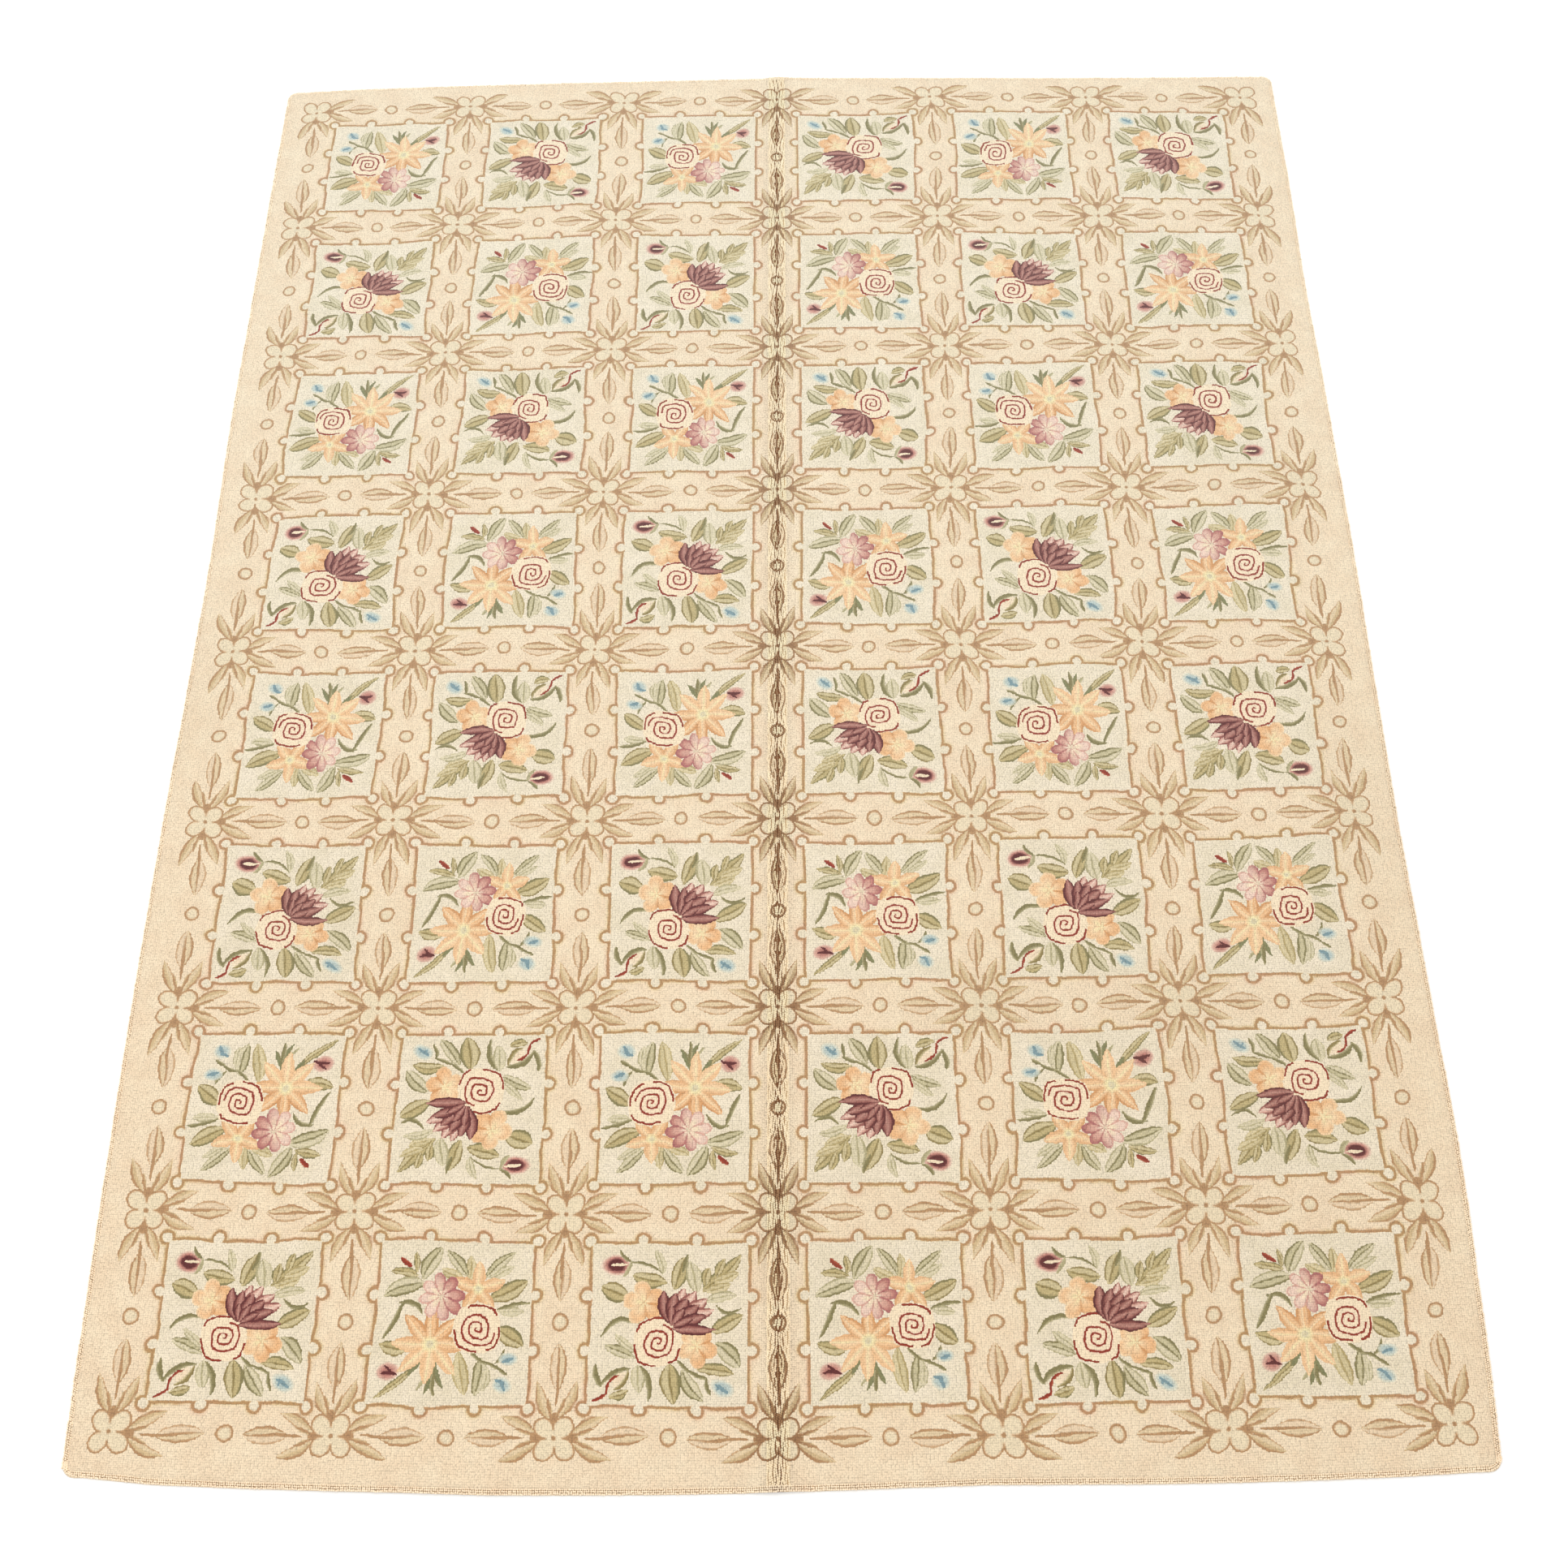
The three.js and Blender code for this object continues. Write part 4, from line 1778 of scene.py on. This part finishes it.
@dataclass
class RugCloth:
    """The cloth and pile as one closed sheet: a grid on the layout's lines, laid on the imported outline.

    Beside the fold the pile starts to rise and is whole at the two places of fold_slope, from its middle.
    """

    packed: PackedRug
    trellis: Trellis
    corner_radius: float = 26.0
    fold_floor: float = 3.8
    pile_top: float = 9.0
    fold_x: float = -1.0
    fold_slope: Pair = (19.0, 24.0)
    fold_lines: tuple[float, ...] = (0.0, 6.0, 12.0, 19.0, 24.0, 33.0)
    bare_half: float = 18.0
    panel_lines: int = 16
    rim_insets: tuple[float, ...] = (0.0, 1.2, 8.5, 12.0, 17.0, 26.0)
    rim_heights: tuple[float, ...] = (1.6, 3.0, 3.4, 8.6, 9.0, 9.0)
    least_past: float = 1e-9
    bake_edge: float = 0.985
    bake_margin: float = 0.01
    bake_pile: float = 0.97

    def lines(self, count: int, pitch: float) -> Array:
        """The grid's lines inside the border, in millimetres of the layout.

        Args:
            count: how many cells there are this way.
            pitch: the cells' size.
        Returns:
            The places of the lines.
        """
        band = self.trellis.band_half
        thirds = np.array([band / 3, 2 * band / 3])
        inner = np.linspace(band, pitch - band, self.panel_lines)
        cell = np.concatenate([[0.0], thirds, inner, pitch - thirds[::-1]])
        half = count * pitch / 2
        places = np.concatenate([cell + k * pitch for k in range(count)]) - half
        outer = half + np.array([*thirds, band])
        return np.sort(np.concatenate([-outer, places, [half], outer]))

    def columns(self) -> Array:
        """The grid's lines across: closer along the fold, where the foundation shows.

        Returns:
            The places of the lines, in millimetres of the layout.
        """
        band = self.trellis.band_half
        places = self.lines(self.trellis.columns, self.trellis.pitch_x)
        beside = places[np.abs(places) > band - 1]
        fold = np.array([*self.fold_lines, band])
        return np.sort(np.concatenate([beside, fold, -fold[1:]]))

    def level(self, x: Array, inset: Array) -> Array:
        """The top's height over the cloth's underside at places of the layout.

        Args:
            x: the places across, in millimetres.
            inset: how far in from the edge they are.
        Returns:
            The heights in millimetres: down to the foundation at the rim and along the fold.
        """
        rim = np.interp(inset, self.rim_insets, self.rim_heights)
        fold = np.interp(np.abs(x - self.fold_x), self.fold_slope, (self.fold_floor, self.pile_top))
        return np.minimum(rim, fold)

    def round_corners(self, x: Array, y: Array, reach_x: Array, reach_y: Array) -> tuple[Array, Array]:
        """Draws the places near the four corners in to a round.

        Args:
            x: the places across, in metres.
            y: the places along.
            reach_x: how far the edge is from the middle across.
            reach_y: how far it is along.
        Returns:
            The places across and along.
        """
        radius = self.corner_radius * MM
        past_x = np.maximum(np.abs(x) - (reach_x - radius), 0)
        past_y = np.maximum(np.abs(y) - (reach_y - radius), 0)
        past = np.maximum(np.hypot(past_x, past_y), self.least_past)
        pull = np.where((past_x > 0) & (past_y > 0), 1 - np.maximum(past_x, past_y) / past, 0)
        return x - np.sign(x) * past_x * pull, y - np.sign(y) * past_y * pull

    def build(self) -> Piece:
        """Makes the sheet.

        Returns:
            The object, with its UV maps, its wear and its materials.
        """
        rim = len(self.rim_insets)
        columns = np.pad(self.columns(), rim, mode="edge")
        rows = np.pad(self.lines(self.trellis.rows, self.trellis.pitch_y), rim, mode="edge")
        x, y = (value * MM for value in self.trellis.lay(*np.meshgrid(columns, rows)))
        left, right = self.packed.edges(y[:, len(columns) // 2], along_y=True)
        near, far = self.packed.edges(x[len(rows) // 2, :], along_y=False)
        for k, inset in enumerate(np.array(self.rim_insets) * MM):
            x[:, k] = -left + inset
            x[:, -1 - k] = right - inset
            y[k, :] = -near + inset
            y[-1 - k, :] = far - inset
        reach_x = np.where(x < 0, left[:, None], right[:, None])
        reach_y = np.where(y < 0, near[None, :], far[None, :])
        inset = np.minimum(reach_x - np.abs(x), reach_y - np.abs(y)) / MM
        x, y = self.round_corners(x, y, reach_x, reach_y)
        lift = self.packed.lift(x.ravel(), y.ravel()).reshape(x.shape)
        layout_x, _ = self.trellis.unlay(x / MM, y / MM)
        top = np.stack([x, y, lift + self.level(layout_x, inset) * MM], axis=2)
        return self.join(top, np.stack([x, y, lift], axis=2))

    def join(self, top: Array, bottom: Array) -> Piece:
        """Joins the two grids at the rim and dresses the sheet.

        Args:
            top: the pile side's places, by row and column.
            bottom: the underside's places.
        Returns:
            The object.
        """
        upper = np.arange(top[..., 0].size).reshape(top.shape[:2])
        lower = upper.copy()
        inner = lower[1:-1, 1:-1]
        inner[:] = upper.size + np.arange(inner.size).reshape(inner.shape)
        points = np.concatenate([top.reshape(-1, 3), bottom[1:-1, 1:-1].reshape(-1, 3)])
        x, y = self.trellis.unlay(points[:, 0] / MM, points[:, 1] / MM)
        pile_faces = grid_faces(upper, True)
        faces = np.concatenate([pile_faces, grid_faces(lower, False)])
        mesh = bpy.data.meshes.new("hooked_pile")
        mesh.from_pydata(points.tolist(), [], faces.tolist())
        mesh.validate()
        corners = faces.ravel()
        add_map(mesh, DESIGN_MAP, np.stack([x, y], axis=1)[corners] * MM)
        add_map(mesh, BAKE_MAP, self.bake_places(points[corners, :2], pile_faces.size))
        design = mesh.uv_layers[DESIGN_MAP]
        mesh.uv_layers.active = design
        design.active_render = True
        add_patchiness(mesh, x, y)
        self.dress(mesh, x[faces].mean(1), y[faces].mean(1), len(pile_faces))
        mesh.shade_smooth()
        return stand("hooked_pile", mesh)

    def bake_places(self, corners: Array, pile_corners: int) -> Array:
        """Lays the faces out for baking: the pile side large, the underside small beside it.

        Args:
            corners: where the faces' corners are on the floor, in metres.
            pile_corners: how many of them are on the pile side; they come first.
        Returns:
            Their places in the map.
        """
        low, high = corners.min(0), corners.max(0)
        share = (corners - low) / (high[1] - low[1])
        width = (high[0] - low[0]) / (high[1] - low[1])
        beside = width * self.bake_pile
        small = (self.bake_edge - beside - 3 * self.bake_margin) / width
        on_pile = np.arange(len(corners))[:, None] < pile_corners
        return self.bake_margin + np.where(on_pile, share * self.bake_pile, share * small + (beside, 0.0))

    def dress(self, mesh: Mesh, x: Array, y: Array, pile_faces: int) -> None:
        """Gives each face its material.

        Args:
            mesh: the mesh.
            x: its faces' places across in the layout, in millimetres.
            y: their places along.
            pile_faces: how many of its faces are on the pile side; they come first.
        """
        covers = {
            Cover.TRELLIS: TrellisPile(),
            Cover.STAR: PanelPile(Bouquet.STAR),
            Cover.FAN: PanelPile(Bouquet.FAN),
            Cover.FOLD: FoldCloth(),
            Cover.BACK: BackCloth(),
        }
        for surface in covers.values():
            mesh.materials.append(surface.make())
        trellis = self.trellis
        column, row = x / trellis.pitch_x + trellis.columns / 2, y / trellis.pitch_y + trellis.rows / 2
        in_panel = np.abs(column % 1 - 0.5) * trellis.pitch_x < trellis.pitch_x / 2 - trellis.band_half
        in_panel &= np.abs(row % 1 - 0.5) * trellis.pitch_y < trellis.pitch_y / 2 - trellis.band_half
        in_panel &= (np.abs(x) < trellis.half_x) & (np.abs(y) < trellis.half_y)
        bouquet = np.where((column // 1 + row // 1) % 2 == 1, Cover.STAR, Cover.FAN)
        cover = np.where(in_panel, bouquet, Cover.TRELLIS)
        cover = np.where(np.abs(x - self.fold_x) < self.bare_half, Cover.FOLD, cover)
        cover[pile_faces:] = Cover.BACK
        mesh.polygons.foreach_set("material_index", cover.astype(np.int32))


# Loops that stand on the cloth


@dataclass
class LoopMaker:
    """Grows a yarn loop on each point of a mesh, by Geometry Nodes. Each may lean by sway, in radians."""

    surface: Surface
    radius: float = 1 * MM
    sway: float = 0.12
    sway_ways: Triple = (1.0, 1.0, 2.5)
    seed: int = 11

    def __post_init__(self) -> None:
        """Builds the node tree: balls on the points, turned and stretched, then made real and finished."""
        self.tree = bpy.data.node_groups.new("Yarn loops", "GeometryNodeTree")
        sockets = self.tree.interface
        sockets.new_socket(name="Seeds", in_out="INPUT", socket_type="NodeSocketGeometry")
        radius = sockets.new_socket(name="Radius", in_out="INPUT", socket_type="NodeSocketFloat")
        sway = sockets.new_socket(name="Sway", in_out="INPUT", socket_type="NodeSocketFloat")
        sockets.new_socket(name="Loops", in_out="OUTPUT", socket_type="NodeSocketGeometry")
        self.settings = {radius.identifier: self.radius, sway.identifier: self.sway}
        g = Graph(self.tree)
        ball = g.fill(g.node("GeometryNodeMeshIcoSphere"), {"Subdivisions": 1, "Radius": g.given["Radius"]})
        settings = {
            "Points": g.given["Seeds"],
            "Instance": ball.outputs["Mesh"],
            "Rotation": self.rotation(g),
            "Scale": self.named(g, LOOP_SIZE),
        }
        place = g.fill(g.node("GeometryNodeInstanceOnPoints"), settings)
        real = g.fill(g.node("GeometryNodeRealizeInstances"), place.outputs[:1])
        smooth = g.fill(g.node("GeometryNodeSetShadeSmooth"), real.outputs[:1])
        settings = {"Geometry": smooth.outputs[0], "Material": self.surface.make()}
        finish = g.fill(g.node("GeometryNodeSetMaterial"), settings)
        g.fill(g.node("NodeGroupOutput"), finish.outputs[:1])

    def named(self, g: Graph, name: str) -> Socket:
        """Reads a vector that each point holds."""
        node = g.node("GeometryNodeInputNamedAttribute", data_type="FLOAT_VECTOR")
        return g.fill(node, {"Name": name}).outputs[0]

    def rotation(self, g: Graph) -> Socket:
        """Turns each loop to its heading, and a little aside by chance.

        Args:
            g: the tree's graph.
        Returns:
            The rotation.
        """
        turn = g.node("FunctionNodeRandomValue", data_type="FLOAT_VECTOR")
        least, most = (g.scale([sign * way for way in self.sway_ways], g.given["Sway"]) for sign in (-1, 1))
        g.fill(turn, {"Seed": self.seed, "Min": least, "Max": most})
        way = g.vector("ADD", self.named(g, LOOP_HEADING), turn.outputs[0])
        return g.fill(g.node("FunctionNodeEulerToRotation"), (way,)).outputs[0]

    def grow(self, seeds: Piece, name: str) -> Piece:
        """Grows the loops and leaves them as a plain mesh.

        Args:
            seeds: the object with a point for each loop; it is removed.
            name: the new piece's name.
        Returns:
            The piece.
        """
        modifier = seeds.modifiers.new("Loops", "NODES")
        modifier.node_group = self.tree
        for identifier, value in self.settings.items():
            modifier[identifier] = value
        graph = bpy.context.evaluated_depsgraph_get()
        mesh = bpy.data.meshes.new_from_object(seeds.evaluated_get(graph))
        mesh.name = name
        bpy.data.objects.remove(seeds)
        return stand(name, mesh)


@dataclass
class LoopField:
    """A set of hooked loops that are modelled one by one.

    Each has its place in metres, its heading in radians, its half sizes and its place in the layout in
    millimetres.
    """

    places: Array
    headings: Array
    sizes: Array
    layout_x: Array
    layout_y: Array
    seed: int = 7

    def part(self, chosen: Array) -> "LoopField":
        """The loops that a mask chooses."""
        fields = (self.places, self.headings, self.sizes, self.layout_x, self.layout_y)
        return LoopField(*(values[chosen] for values in fields))

    def build(self, loops: LoopMaker, name: str) -> Piece:
        """Makes the loops.

        Args:
            loops: the maker of the loops.
            name: the piece's name.
        Returns:
            One plain mesh object.
        """
        mesh = bpy.data.meshes.new(name)
        mesh.from_pydata(self.places.tolist(), [], [])
        values = {
            LOOP_HEADING: self.headings,
            LOOP_SIZE: self.sizes,
            LOOP_PLACE: np.stack([self.layout_x, self.layout_y, np.zeros(len(self.places))], axis=1),
            LOOP_FLOOR: self.places / MM,
            LOOP_CHANCE: np.random.default_rng(self.seed).random(len(self.places)),
        }
        for label, value in values.items():
            mark(mesh, label, value)
        add_patchiness(mesh, self.layout_x, self.layout_y)
        return loops.grow(stand(f"{name}_seeds", mesh), name)


@dataclass(frozen=True)
class Bulge:
    """A soft swelling at a distance: how high it is and how far it reaches, in millimetres."""

    at: float
    rise: float
    reach: float

    def height(self, far: Array) -> Array:
        """The swelling at distances."""
        return self.rise * np.exp(-(((far - self.at) / self.reach) ** 2))


@dataclass
class FoldLoops:
    """The rows of loops along the fold, bent round the sprays and rings and apart at the crest.

    Sizes are in millimetres, and waves in millimetres to a radian. An open loop is lower, slimmer and leans
    away from the crest.
    """

    packed: PackedRug
    cloth: RugCloth
    row_gap: float = 4.6
    rows_each_side: int = 5
    step: float = 4.2
    root: float = 3.4
    past_end: float = 84.0
    leaf: Bulge = Bulge(136.0, 8.5, 26.0)
    ring: Bulge = Bulge(218.0, 9.5, 13.0)
    swell_reach: float = 21.0
    crest: Bulge = Bulge(0.0, 0.5, 15.0)
    strength_at: tuple[float, ...] = (-1.05, -0.9, 0.3, 0.55, 0.8, 1.05)
    strength: tuple[float, ...] = (0.6, 1.0, 0.95, 0.75, 0.6, 0.5)
    patch_depth: float = 0.2
    patch_waves: Pair = (31.0, 83.0)
    drawn_within: Pair = (165.0, 190.0)
    bare_share: float = 0.7
    opening_scatter: float = 0.04
    wobble: float = 1.5
    wobble_waves: Triple = (8.0, 5.0, 29.0)
    scatter: Triple = (0.3, 0.35, 0.25)
    sunk: float = 0.4
    open_sunk: float = 0.9
    stretch: float = 0.8
    overlap: Pair = (1.2, 1.4)
    slimming: float = 0.42
    lean: float = 0.3
    lean_whole_at: float = 30.0
    seed: int = 5

    def from_crossing(self, y: Array) -> Array:
        """How far places along the fold are from the nearest crossing, in millimetres."""
        pitch = self.cloth.trellis.pitch_y
        return np.abs((y / pitch + 0.5) % 1 - 0.5) * pitch

    def opening(self, x: Array, y: Array, rng: np.random.Generator) -> Array:
        """How open the pile stands: most at the crest, and little in the far third.

        Args:
            x: the loops' places across, in millimetres of the layout.
            y: their places along.
            rng: where their chances are drawn from.
        Returns:
            From 0 to 1 for each.
        """
        strength = np.interp(y / self.cloth.trellis.half_y, self.strength_at, self.strength)
        short, long = self.patch_waves
        patchy = 1 - self.patch_depth + self.patch_depth * np.sin(y / short) * np.sin(y / long + 1)
        drawn = np.interp(self.from_crossing(y), self.drawn_within, (1.0, self.bare_share))
        open_share = strength * patchy * drawn * self.crest.height(x)
        return np.clip(open_share + rng.normal(0, self.opening_scatter, len(x)), 0, 1)

    def rows(self) -> tuple[Array, Array]:
        """Sets out the rows: evenly beside the crest, bent out at the leaves and rings, which more rows fill.

        Returns:
            The loops' places across and along, in millimetres of the layout.
        """
        half = self.cloth.trellis.half_y + self.past_end
        y = np.arange(-half, half, self.step)
        swell = self.leaf.height(self.from_crossing(y)) + self.ring.height(self.from_crossing(y))
        across, along = [], []
        for k in range(-self.rows_each_side, self.rows_each_side):
            x = (k + 0.5) * self.row_gap
            across.append(x + np.sign(x) * swell * np.exp(-((x / self.swell_reach) ** 2)))
            along.append(y + (k % 2) * self.step / 2)
        for k in (-1, 0, 1):
            x = k * self.row_gap
            inside = np.abs(x) + self.row_gap * 0.5 < swell
            across.append(np.full(inside.sum(), x))
            along.append(y[inside])
        return np.concatenate(across), np.concatenate(along)

    def build(self, loops: LoopMaker) -> list[Piece]:
        """Makes the loops in two pieces, one on each side of the crest.

        Args:
            loops: the maker of the loops.
        Returns:
            The two pieces.
        """
        rng = np.random.default_rng(self.seed)
        x, y = self.rows()
        count = len(x)
        open_share = self.opening(x, y, rng)
        short, across, long = self.wobble_waves
        wobble = self.wobble * np.sin(y / short + x / across) * np.sin(y / long + x)
        x = x + self.cloth.fold_x + rng.normal(0, self.scatter[0], count) + wobble
        y = y + rng.normal(0, self.scatter[1], count)
        floor_x, floor_y = (value * MM for value in self.cloth.trellis.lay(x, y))
        lift = self.packed.lift(floor_x, floor_y)
        height = self.cloth.pile_top - self.sunk - self.open_sunk * open_share
        height += rng.normal(0, self.scatter[2], count)
        half_height = (height - self.root) / 2 + self.stretch
        half_width = self.row_gap / 2 * (self.overlap[0] - self.slimming * open_share)
        half_length = np.full(count, self.step / 2 * self.overlap[1])
        headings = np.zeros((count, 3))
        headings[:, 1] = np.clip(x / self.lean_whole_at, -1, 1) * self.lean * open_share
        field = LoopField(
            places=np.stack([floor_x, floor_y, lift + (height - half_height) * MM], axis=1),
            headings=headings,
            sizes=np.stack([half_width, half_length, half_height], axis=1),
            layout_x=x,
            layout_y=y,
        )
        sides = {"fold_loops_left": x < self.cloth.fold_x, "fold_loops_right": x >= self.cloth.fold_x}
        return [field.part(side).build(loops, name) for name, side in sides.items()]


@dataclass
class RimLoops:
    """The rows of loops along the rug's edge, which make it slightly ragged.

    Sizes are in millimetres, the scatter along is in steps, and the edge's waves are in radians a metre.
    """

    packed: PackedRug
    cloth: RugCloth
    insets: Triple = (2.3, 6.4, 10.4)
    heights: Triple = (7.4, 8.6, 9.0)
    ragged: Triple = (1.3, 0.5, 0.5)
    out_scatter: float = 0.42
    along_scatter: float = 0.14
    height_scatter: float = 0.25
    wave: float = 0.35
    waves: Pair = (61.0, 23.0)
    half_along: float = 2.35
    half_across: float = 2.3
    step: float = 4.2
    root: float = 2.2
    outline_step: float = 20.0
    corner_steps: int = 9
    seed: int = 9

    def outline(self, inset: float) -> Array:
        """Runs a line round the rug, inside its edge.

        Args:
            inset: how far inside it is, in millimetres.
        Returns:
            The points of the closed line, in metres.
        """
        radius = self.cloth.corner_radius * MM
        low, high = self.packed.low, self.packed.high
        y = np.arange(low.y + 2 * radius, high.y - 2 * radius, self.outline_step * MM)
        x = np.arange(low.x + 2 * radius, high.x - 2 * radius, self.outline_step * MM)
        left, right = self.packed.edges(y, along_y=True)
        near, far = self.packed.edges(x, along_y=False)
        sides = [
            np.stack([x, -near + inset * MM], axis=1),
            np.stack([right - inset * MM, y], axis=1),
            np.stack([x, far - inset * MM], axis=1)[::-1],
            np.stack([-left + inset * MM, y], axis=1)[::-1],
        ]
        line = []
        for side, after in zip(sides, sides[1:] + sides[:1]):
            line.append(side)
            line.append(self.corner(side, after, radius - inset * MM))
        return np.concatenate(line)

    def corner(self, side: Array, after: Array, radius: float) -> Array:
        """A quarter round between the ends of two sides of the outline.

        Args:
            side: the side before the corner.
            after: the side after it.
            radius: the corner's radius, in metres.
        Returns:
            The points of the corner.
        """
        way_in = side[-1] - side[-2]
        way_in = way_in / np.linalg.norm(way_in)
        way_out = after[1] - after[0]
        way_out = way_out / np.linalg.norm(way_out)
        first, _ = np.linalg.solve(np.array([way_in, -way_out]).T, after[0] - side[-1])
        middle = side[-1] + way_in * (first - radius) + way_out * radius
        turns = np.linspace(0, math.pi / 2, self.corner_steps)[:, None]
        return middle + radius * (way_in * np.sin(turns) - way_out * np.cos(turns))

    def row(self, inset: float, ragged: float, rng: np.random.Generator) -> tuple[Array, Array]:
        """Sets out one row of loops.

        Args:
            inset: how far inside the edge it is, in millimetres.
            ragged: how unevenly the loops stand out of the row.
            rng: where their chances are drawn from.
        Returns:
            The loops' places in metres, and their headings in radians.
        """
        line = self.outline(inset)
        closed = np.concatenate([line, line[:1]])
        run = np.concatenate([[0], np.cumsum(np.linalg.norm(np.diff(closed, axis=0), axis=1))])
        count = round(run[-1] / (self.step * MM))
        scatter = rng.uniform(-self.along_scatter, self.along_scatter, count)
        at = (np.arange(count) + scatter) * run[-1] / count
        spots, next_spots = (
            np.stack([np.interp(place, run, closed[:, k]) for k in (0, 1)], axis=1) for place in (at, at + MM)
        )
        ahead = next_spots - spots
        outward = np.stack([ahead[:, 1], -ahead[:, 0]], axis=1) / np.linalg.norm(ahead, axis=1)[:, None]
        wave = self.wave * np.sin(at * self.waves[0]) * np.sin(at * self.waves[1])
        out = rng.normal(0, self.out_scatter, count) + wave
        return spots + outward * out[:, None] * MM * ragged, np.arctan2(ahead[:, 1], ahead[:, 0])

    def build(self, loops: LoopMaker) -> Piece:
        """Makes the rim's loops.

        Args:
            loops: the maker of the loops.
        Returns:
            The piece.
        """
        rng = np.random.default_rng(self.seed)
        rows, turns, tops = [], [], []
        for inset, height, ragged in zip(self.insets, self.heights, self.ragged):
            row, turn = self.row(inset, ragged, rng)
            rows.append(row)
            turns.append(turn)
            tops.append(height + rng.normal(0, self.height_scatter, len(row)))
        spots, turn, top = (np.concatenate(values) for values in (rows, turns, tops))
        lift = self.packed.lift(spots[:, 0], spots[:, 1])
        half_height = (top - self.root) / 2
        layout_x, layout_y = self.cloth.trellis.unlay(spots[:, 0] / MM, spots[:, 1] / MM)
        zeros = np.zeros_like(turn)
        field = LoopField(
            places=np.stack([spots[:, 0], spots[:, 1], lift + (top - half_height) * MM], axis=1),
            headings=np.stack([zeros, zeros, turn], axis=1),
            sizes=np.stack([zeros + self.half_along, zeros + self.half_across, half_height], axis=1),
            layout_x=layout_x,
            layout_y=layout_y,
        )
        return field.build(loops, "rim_loops")


# Studio


@dataclass(frozen=True)
class Lamp:
    """A square lamp that faces the rug's middle: its side in metres, its power in watts and its place."""

    name: str
    size: float
    power: float
    place: Triple

    def hang(self) -> None:
        """Makes the lamp."""
        data = bpy.data.lights.new(self.name, "AREA")
        data.shape = "SQUARE"
        data.size = self.size
        data.energy = self.power
        lamp = stand(self.name, data)
        lamp.location = self.place
        lamp.rotation_euler = (-Vector(self.place)).to_track_quat("-Z", "Y").to_euler()


@dataclass
class Studio:
    """The plain floor, the soft light and the camera at the photo's angle."""

    camera_at: Triple = (0.0723, -2.1299, 3.6306)
    look_at: Triple = (0.012, -0.351, 0.009)
    roll: float = -2.34
    lens: float = 41.33
    sensor: float = 36.0
    sees_to: float = 100.0
    floor_half: float = 9.0
    room_light: Colour = (1.0, 0.995, 0.985, 1.0)
    room_strength: float = 1.035
    lamps: tuple[Lamp, ...] = (
        Lamp("Broad lamp", 5.0, 190.0, (-0.4, 2.4, 7.0)),
        Lamp("Side lamp", 2.5, 26.0, (-2.6, -3.2, 3.6)),
    )

    def camera(self) -> None:
        """Makes the camera, which looks down at the rug from its near end."""
        data = bpy.data.cameras.new("Camera")
        data.lens = self.lens
        data.sensor_width = self.sensor
        data.clip_end = self.sees_to
        camera = stand("Camera", data)
        way = Vector(self.look_at) - Vector(self.camera_at)
        turn = way.to_track_quat("-Z", "Y").to_matrix().to_4x4()
        turn = turn @ Matrix.Rotation(math.radians(self.roll), 4, "Z")
        camera.matrix_world = Matrix.Translation(self.camera_at) @ turn
        bpy.context.scene.camera = camera

    def floor(self) -> None:
        """Makes the pale floor."""
        half = self.floor_half
        mesh = bpy.data.meshes.new("floor")
        corners = [(-half, -half, 0), (half, -half, 0), (half, half, 0), (-half, half, 0)]
        mesh.from_pydata(corners, [], [range(4)])
        mesh.materials.append(PaleFloor().make())
        stand("floor", mesh)

    def light(self) -> None:
        """Makes the soft overall light, a broad lamp over the far end and a small one at the near left."""
        world = bpy.data.worlds.new("Soft room")
        world.use_nodes = True
        background = world.node_tree.nodes["Background"]
        background.inputs["Color"].default_value = self.room_light
        background.inputs["Strength"].default_value = self.room_strength
        bpy.context.scene.world = world
        for lamp in self.lamps:
            lamp.hang()
        bpy.context.scene.view_settings.view_transform = "Standard"


def main() -> None:
    """Builds the studio, the cloth and its loops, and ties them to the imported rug."""
    logging.basicConfig(level=logging.INFO, format="%(message)s", force=True)
    log = logging.getLogger("rug")
    studio = Studio()
    studio.camera()
    studio.floor()
    studio.light()
    packed = PackedRug(RUG_NODE, 9 * MM)
    cloth = RugCloth(packed, TRELLIS)
    sheet = cloth.build()
    fold_loops = FoldLoops(packed, cloth).build(LoopMaker(FOLD_PILE))
    rim_loops = RimLoops(packed, cloth).build(LoopMaker(RIM_PILE))
    loops = [*fold_loops, rim_loops]
    for piece in (sheet, *loops):
        log.info("%s: %d faces", piece.name, len(piece.data.polygons))
        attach(piece, "root")
    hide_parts(RUG_NODE)


if __name__ == "__main__":
    main()
